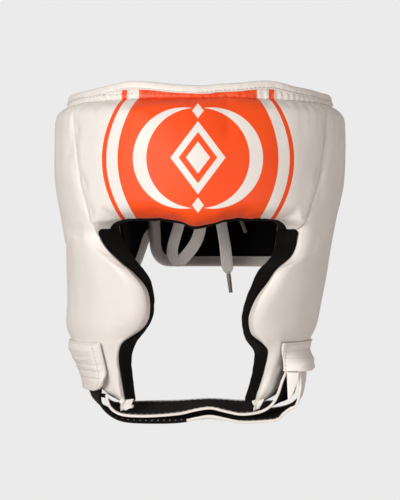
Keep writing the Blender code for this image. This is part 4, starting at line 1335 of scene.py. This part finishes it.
TONGUE_INNER = 0.0665
TONGUE_WIDTH = 0.0100
TONGUE_TIP = 0.0010
TONGUE_THICKNESS = 0.0018
TONGUE_TOP = 0.2055
TONGUE_FOOT = 0.2290
TAB_ROWS = (0.96, 0.545, 0.42, 0.26)
KEEPER_ROWS = (0.93, 0.70, 0.46)


def row_groove(v, rows):
    return 0.0005 * sum(math.exp(-((v - row) / 0.018) ** 2) for row in rows)


def tab_place(u, v):
    row = read_row(TAB_OUTLINE, v)
    return -math.radians(mix(row.front, row.back, u)), -mix(TAB_FOOT, TAB_TOP, v)


def tab(u, v, w):
    turn, height = tab_place(u, v)
    here = on_form(turn, height, 0.01)
    sides = [tab_place(0, v), tab_place(1, v), tab_place(u, 1)]
    edge = min((on_form(*border, 0.01) - here).length for border in sides)
    sewn = mix(1, ease(edge / TAB_SEAM), ease((v - TAB_LOOSE) / TAB_LOOSE))
    rise = mix(2 * GAP, TAB_STAND, sewn)
    border = 0.0007 * math.exp(-((edge - 0.0012) / 0.0010) ** 2)
    wrinkle = 0.0007 * math.exp(-((v - 0.66 + 0.06 * u) / 0.025) ** 2) * ease(u * 3) * ease((1 - u) * 2)
    puckers = 0.0005 * noise.noise(Vector((u * 7, v * 9, 14)))
    outer = TAB_THICKNESS + border + wrinkle + puckers - row_groove(v, TAB_ROWS)
    return on_form(turn, height, wall_at(turn, height) + rise + outer * w)


def keeper(u, v, w):
    turn = mix(KEEPER_FRONT, TAB_BACK, u)
    height = -mix(KEEPER_FOOT, TAB_TOP, v)
    border = 0.0006 * math.exp(-(u / 0.04) ** 2) + 0.0006 * math.exp(-(v / 0.05) ** 2)
    puckers = 0.0005 * noise.noise(Vector((u * 6, v * 7, 15)))
    outer = TAB_THICKNESS + border + puckers - row_groove(v, KEEPER_ROWS)
    sewn = on_form(turn, height, wall_at(turn, height) + 2 * GAP + outer * w)
    bend = read_row(KEEPER_BEND, u)
    ahead = read_row(KEEPER_BEND, min(u + 0.02, 1))
    behind = read_row(KEEPER_BEND, max(u - 0.02, 0))
    out = Vector((STRAP_FRONT * (behind.forward - ahead.forward),
                  STRAP_HALF_SPAN * (behind.across - ahead.across), 0)).normalized()
    clear = Vector((STRAP_HALF_SPAN * bend.across, -STRAP_FRONT * bend.forward, height)) + out * outer * w
    return sewn.lerp(clear, ease((1 - v) / KEEPER_SPREAD))


def tongue(u, v, w):
    width = mix(TONGUE_WIDTH, TONGUE_TIP, v ** 1.4)
    x = TONGUE_INNER + TONGUE_TIP * v + width * u
    fold = 0.0009 * math.sin(math.pi * u) * (1 - v) * w
    return Vector((x, -STRAP_FRONT - 2 * GAP - TONGUE_THICKNESS * w - fold, -mix(TONGUE_TOP, TONGUE_FOOT, v)))


def fittings():
    skin = leather("tab_leather", (0.88, 0.845, 0.805), (0.82, 0.78, 0.74), 1.4)
    for name, columns, rows, shape, node in (("sewn_tab", 60, 60, tab, "chin_tab_left"),
                                             ("keeper_flap", 50, 44, keeper, "keeper_loop_right"),
                                             ("keeper_point", 10, 24, tongue, "keeper_tongue")):
        piece, _ = slab(name, columns, rows, shape, [skin])
        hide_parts(node)
    spots = []
    for shape, rows in ((tab, TAB_ROWS), (keeper, KEEPER_ROWS)):
        for row in rows:
            spots += walk([shape(mix(0.04, 0.96, k / 40), row, 1) for k in range(41)], 0.0027)
        spots += walk([shape(0.055, mix(0.03, 0.95, k / 40), 1) for k in range(41)], 0.0027)
    stitches("tab_stitches", spots, thread, 0.0017, 0.00028)


fittings()

# Cheek tags: small folded ends of leather let into the lower tips of the cheek pads.
TAG_WIDTH = 0.0095
TAG_HEIGHT = 0.0085
TAG_THICKNESS = 0.0030
TAG_TURN = math.radians(40)
TAG_DROP = 0.2275
TAG_SHARE = 0.62


def cheek_tag(name, side):
    turn = side * TAG_TURN
    top = on_form(turn, -TAG_DROP, wall_at(turn, -TAG_DROP) * TAG_SHARE)

    def shape(u, v, w):
        crumple = 0.0026 * noise.noise(Vector((u * 3 + side * 9, v * 3, w * 2)))
        folded = 0.0012 * math.sin(math.pi * 2.4 * u + 2 * v) * (2 * w - 1)
        lean = 0.35 * TAG_HEIGHT * v * (u - 0.2)
        return top + Vector((TAG_WIDTH * (u - 0.5) * (1 - 0.2 * v) + crumple - lean * side,
                             TAG_THICKNESS * (w - 0.5) + folded - 0.003 * v, -TAG_HEIGHT * v + crumple + lean))

    piece, _ = slab("cheek_fold_" + name, 18, 12, shape, [white])
    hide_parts("cheek_tag_" + name)


cheek_tag("left", -1)
cheek_tag("right", 1)
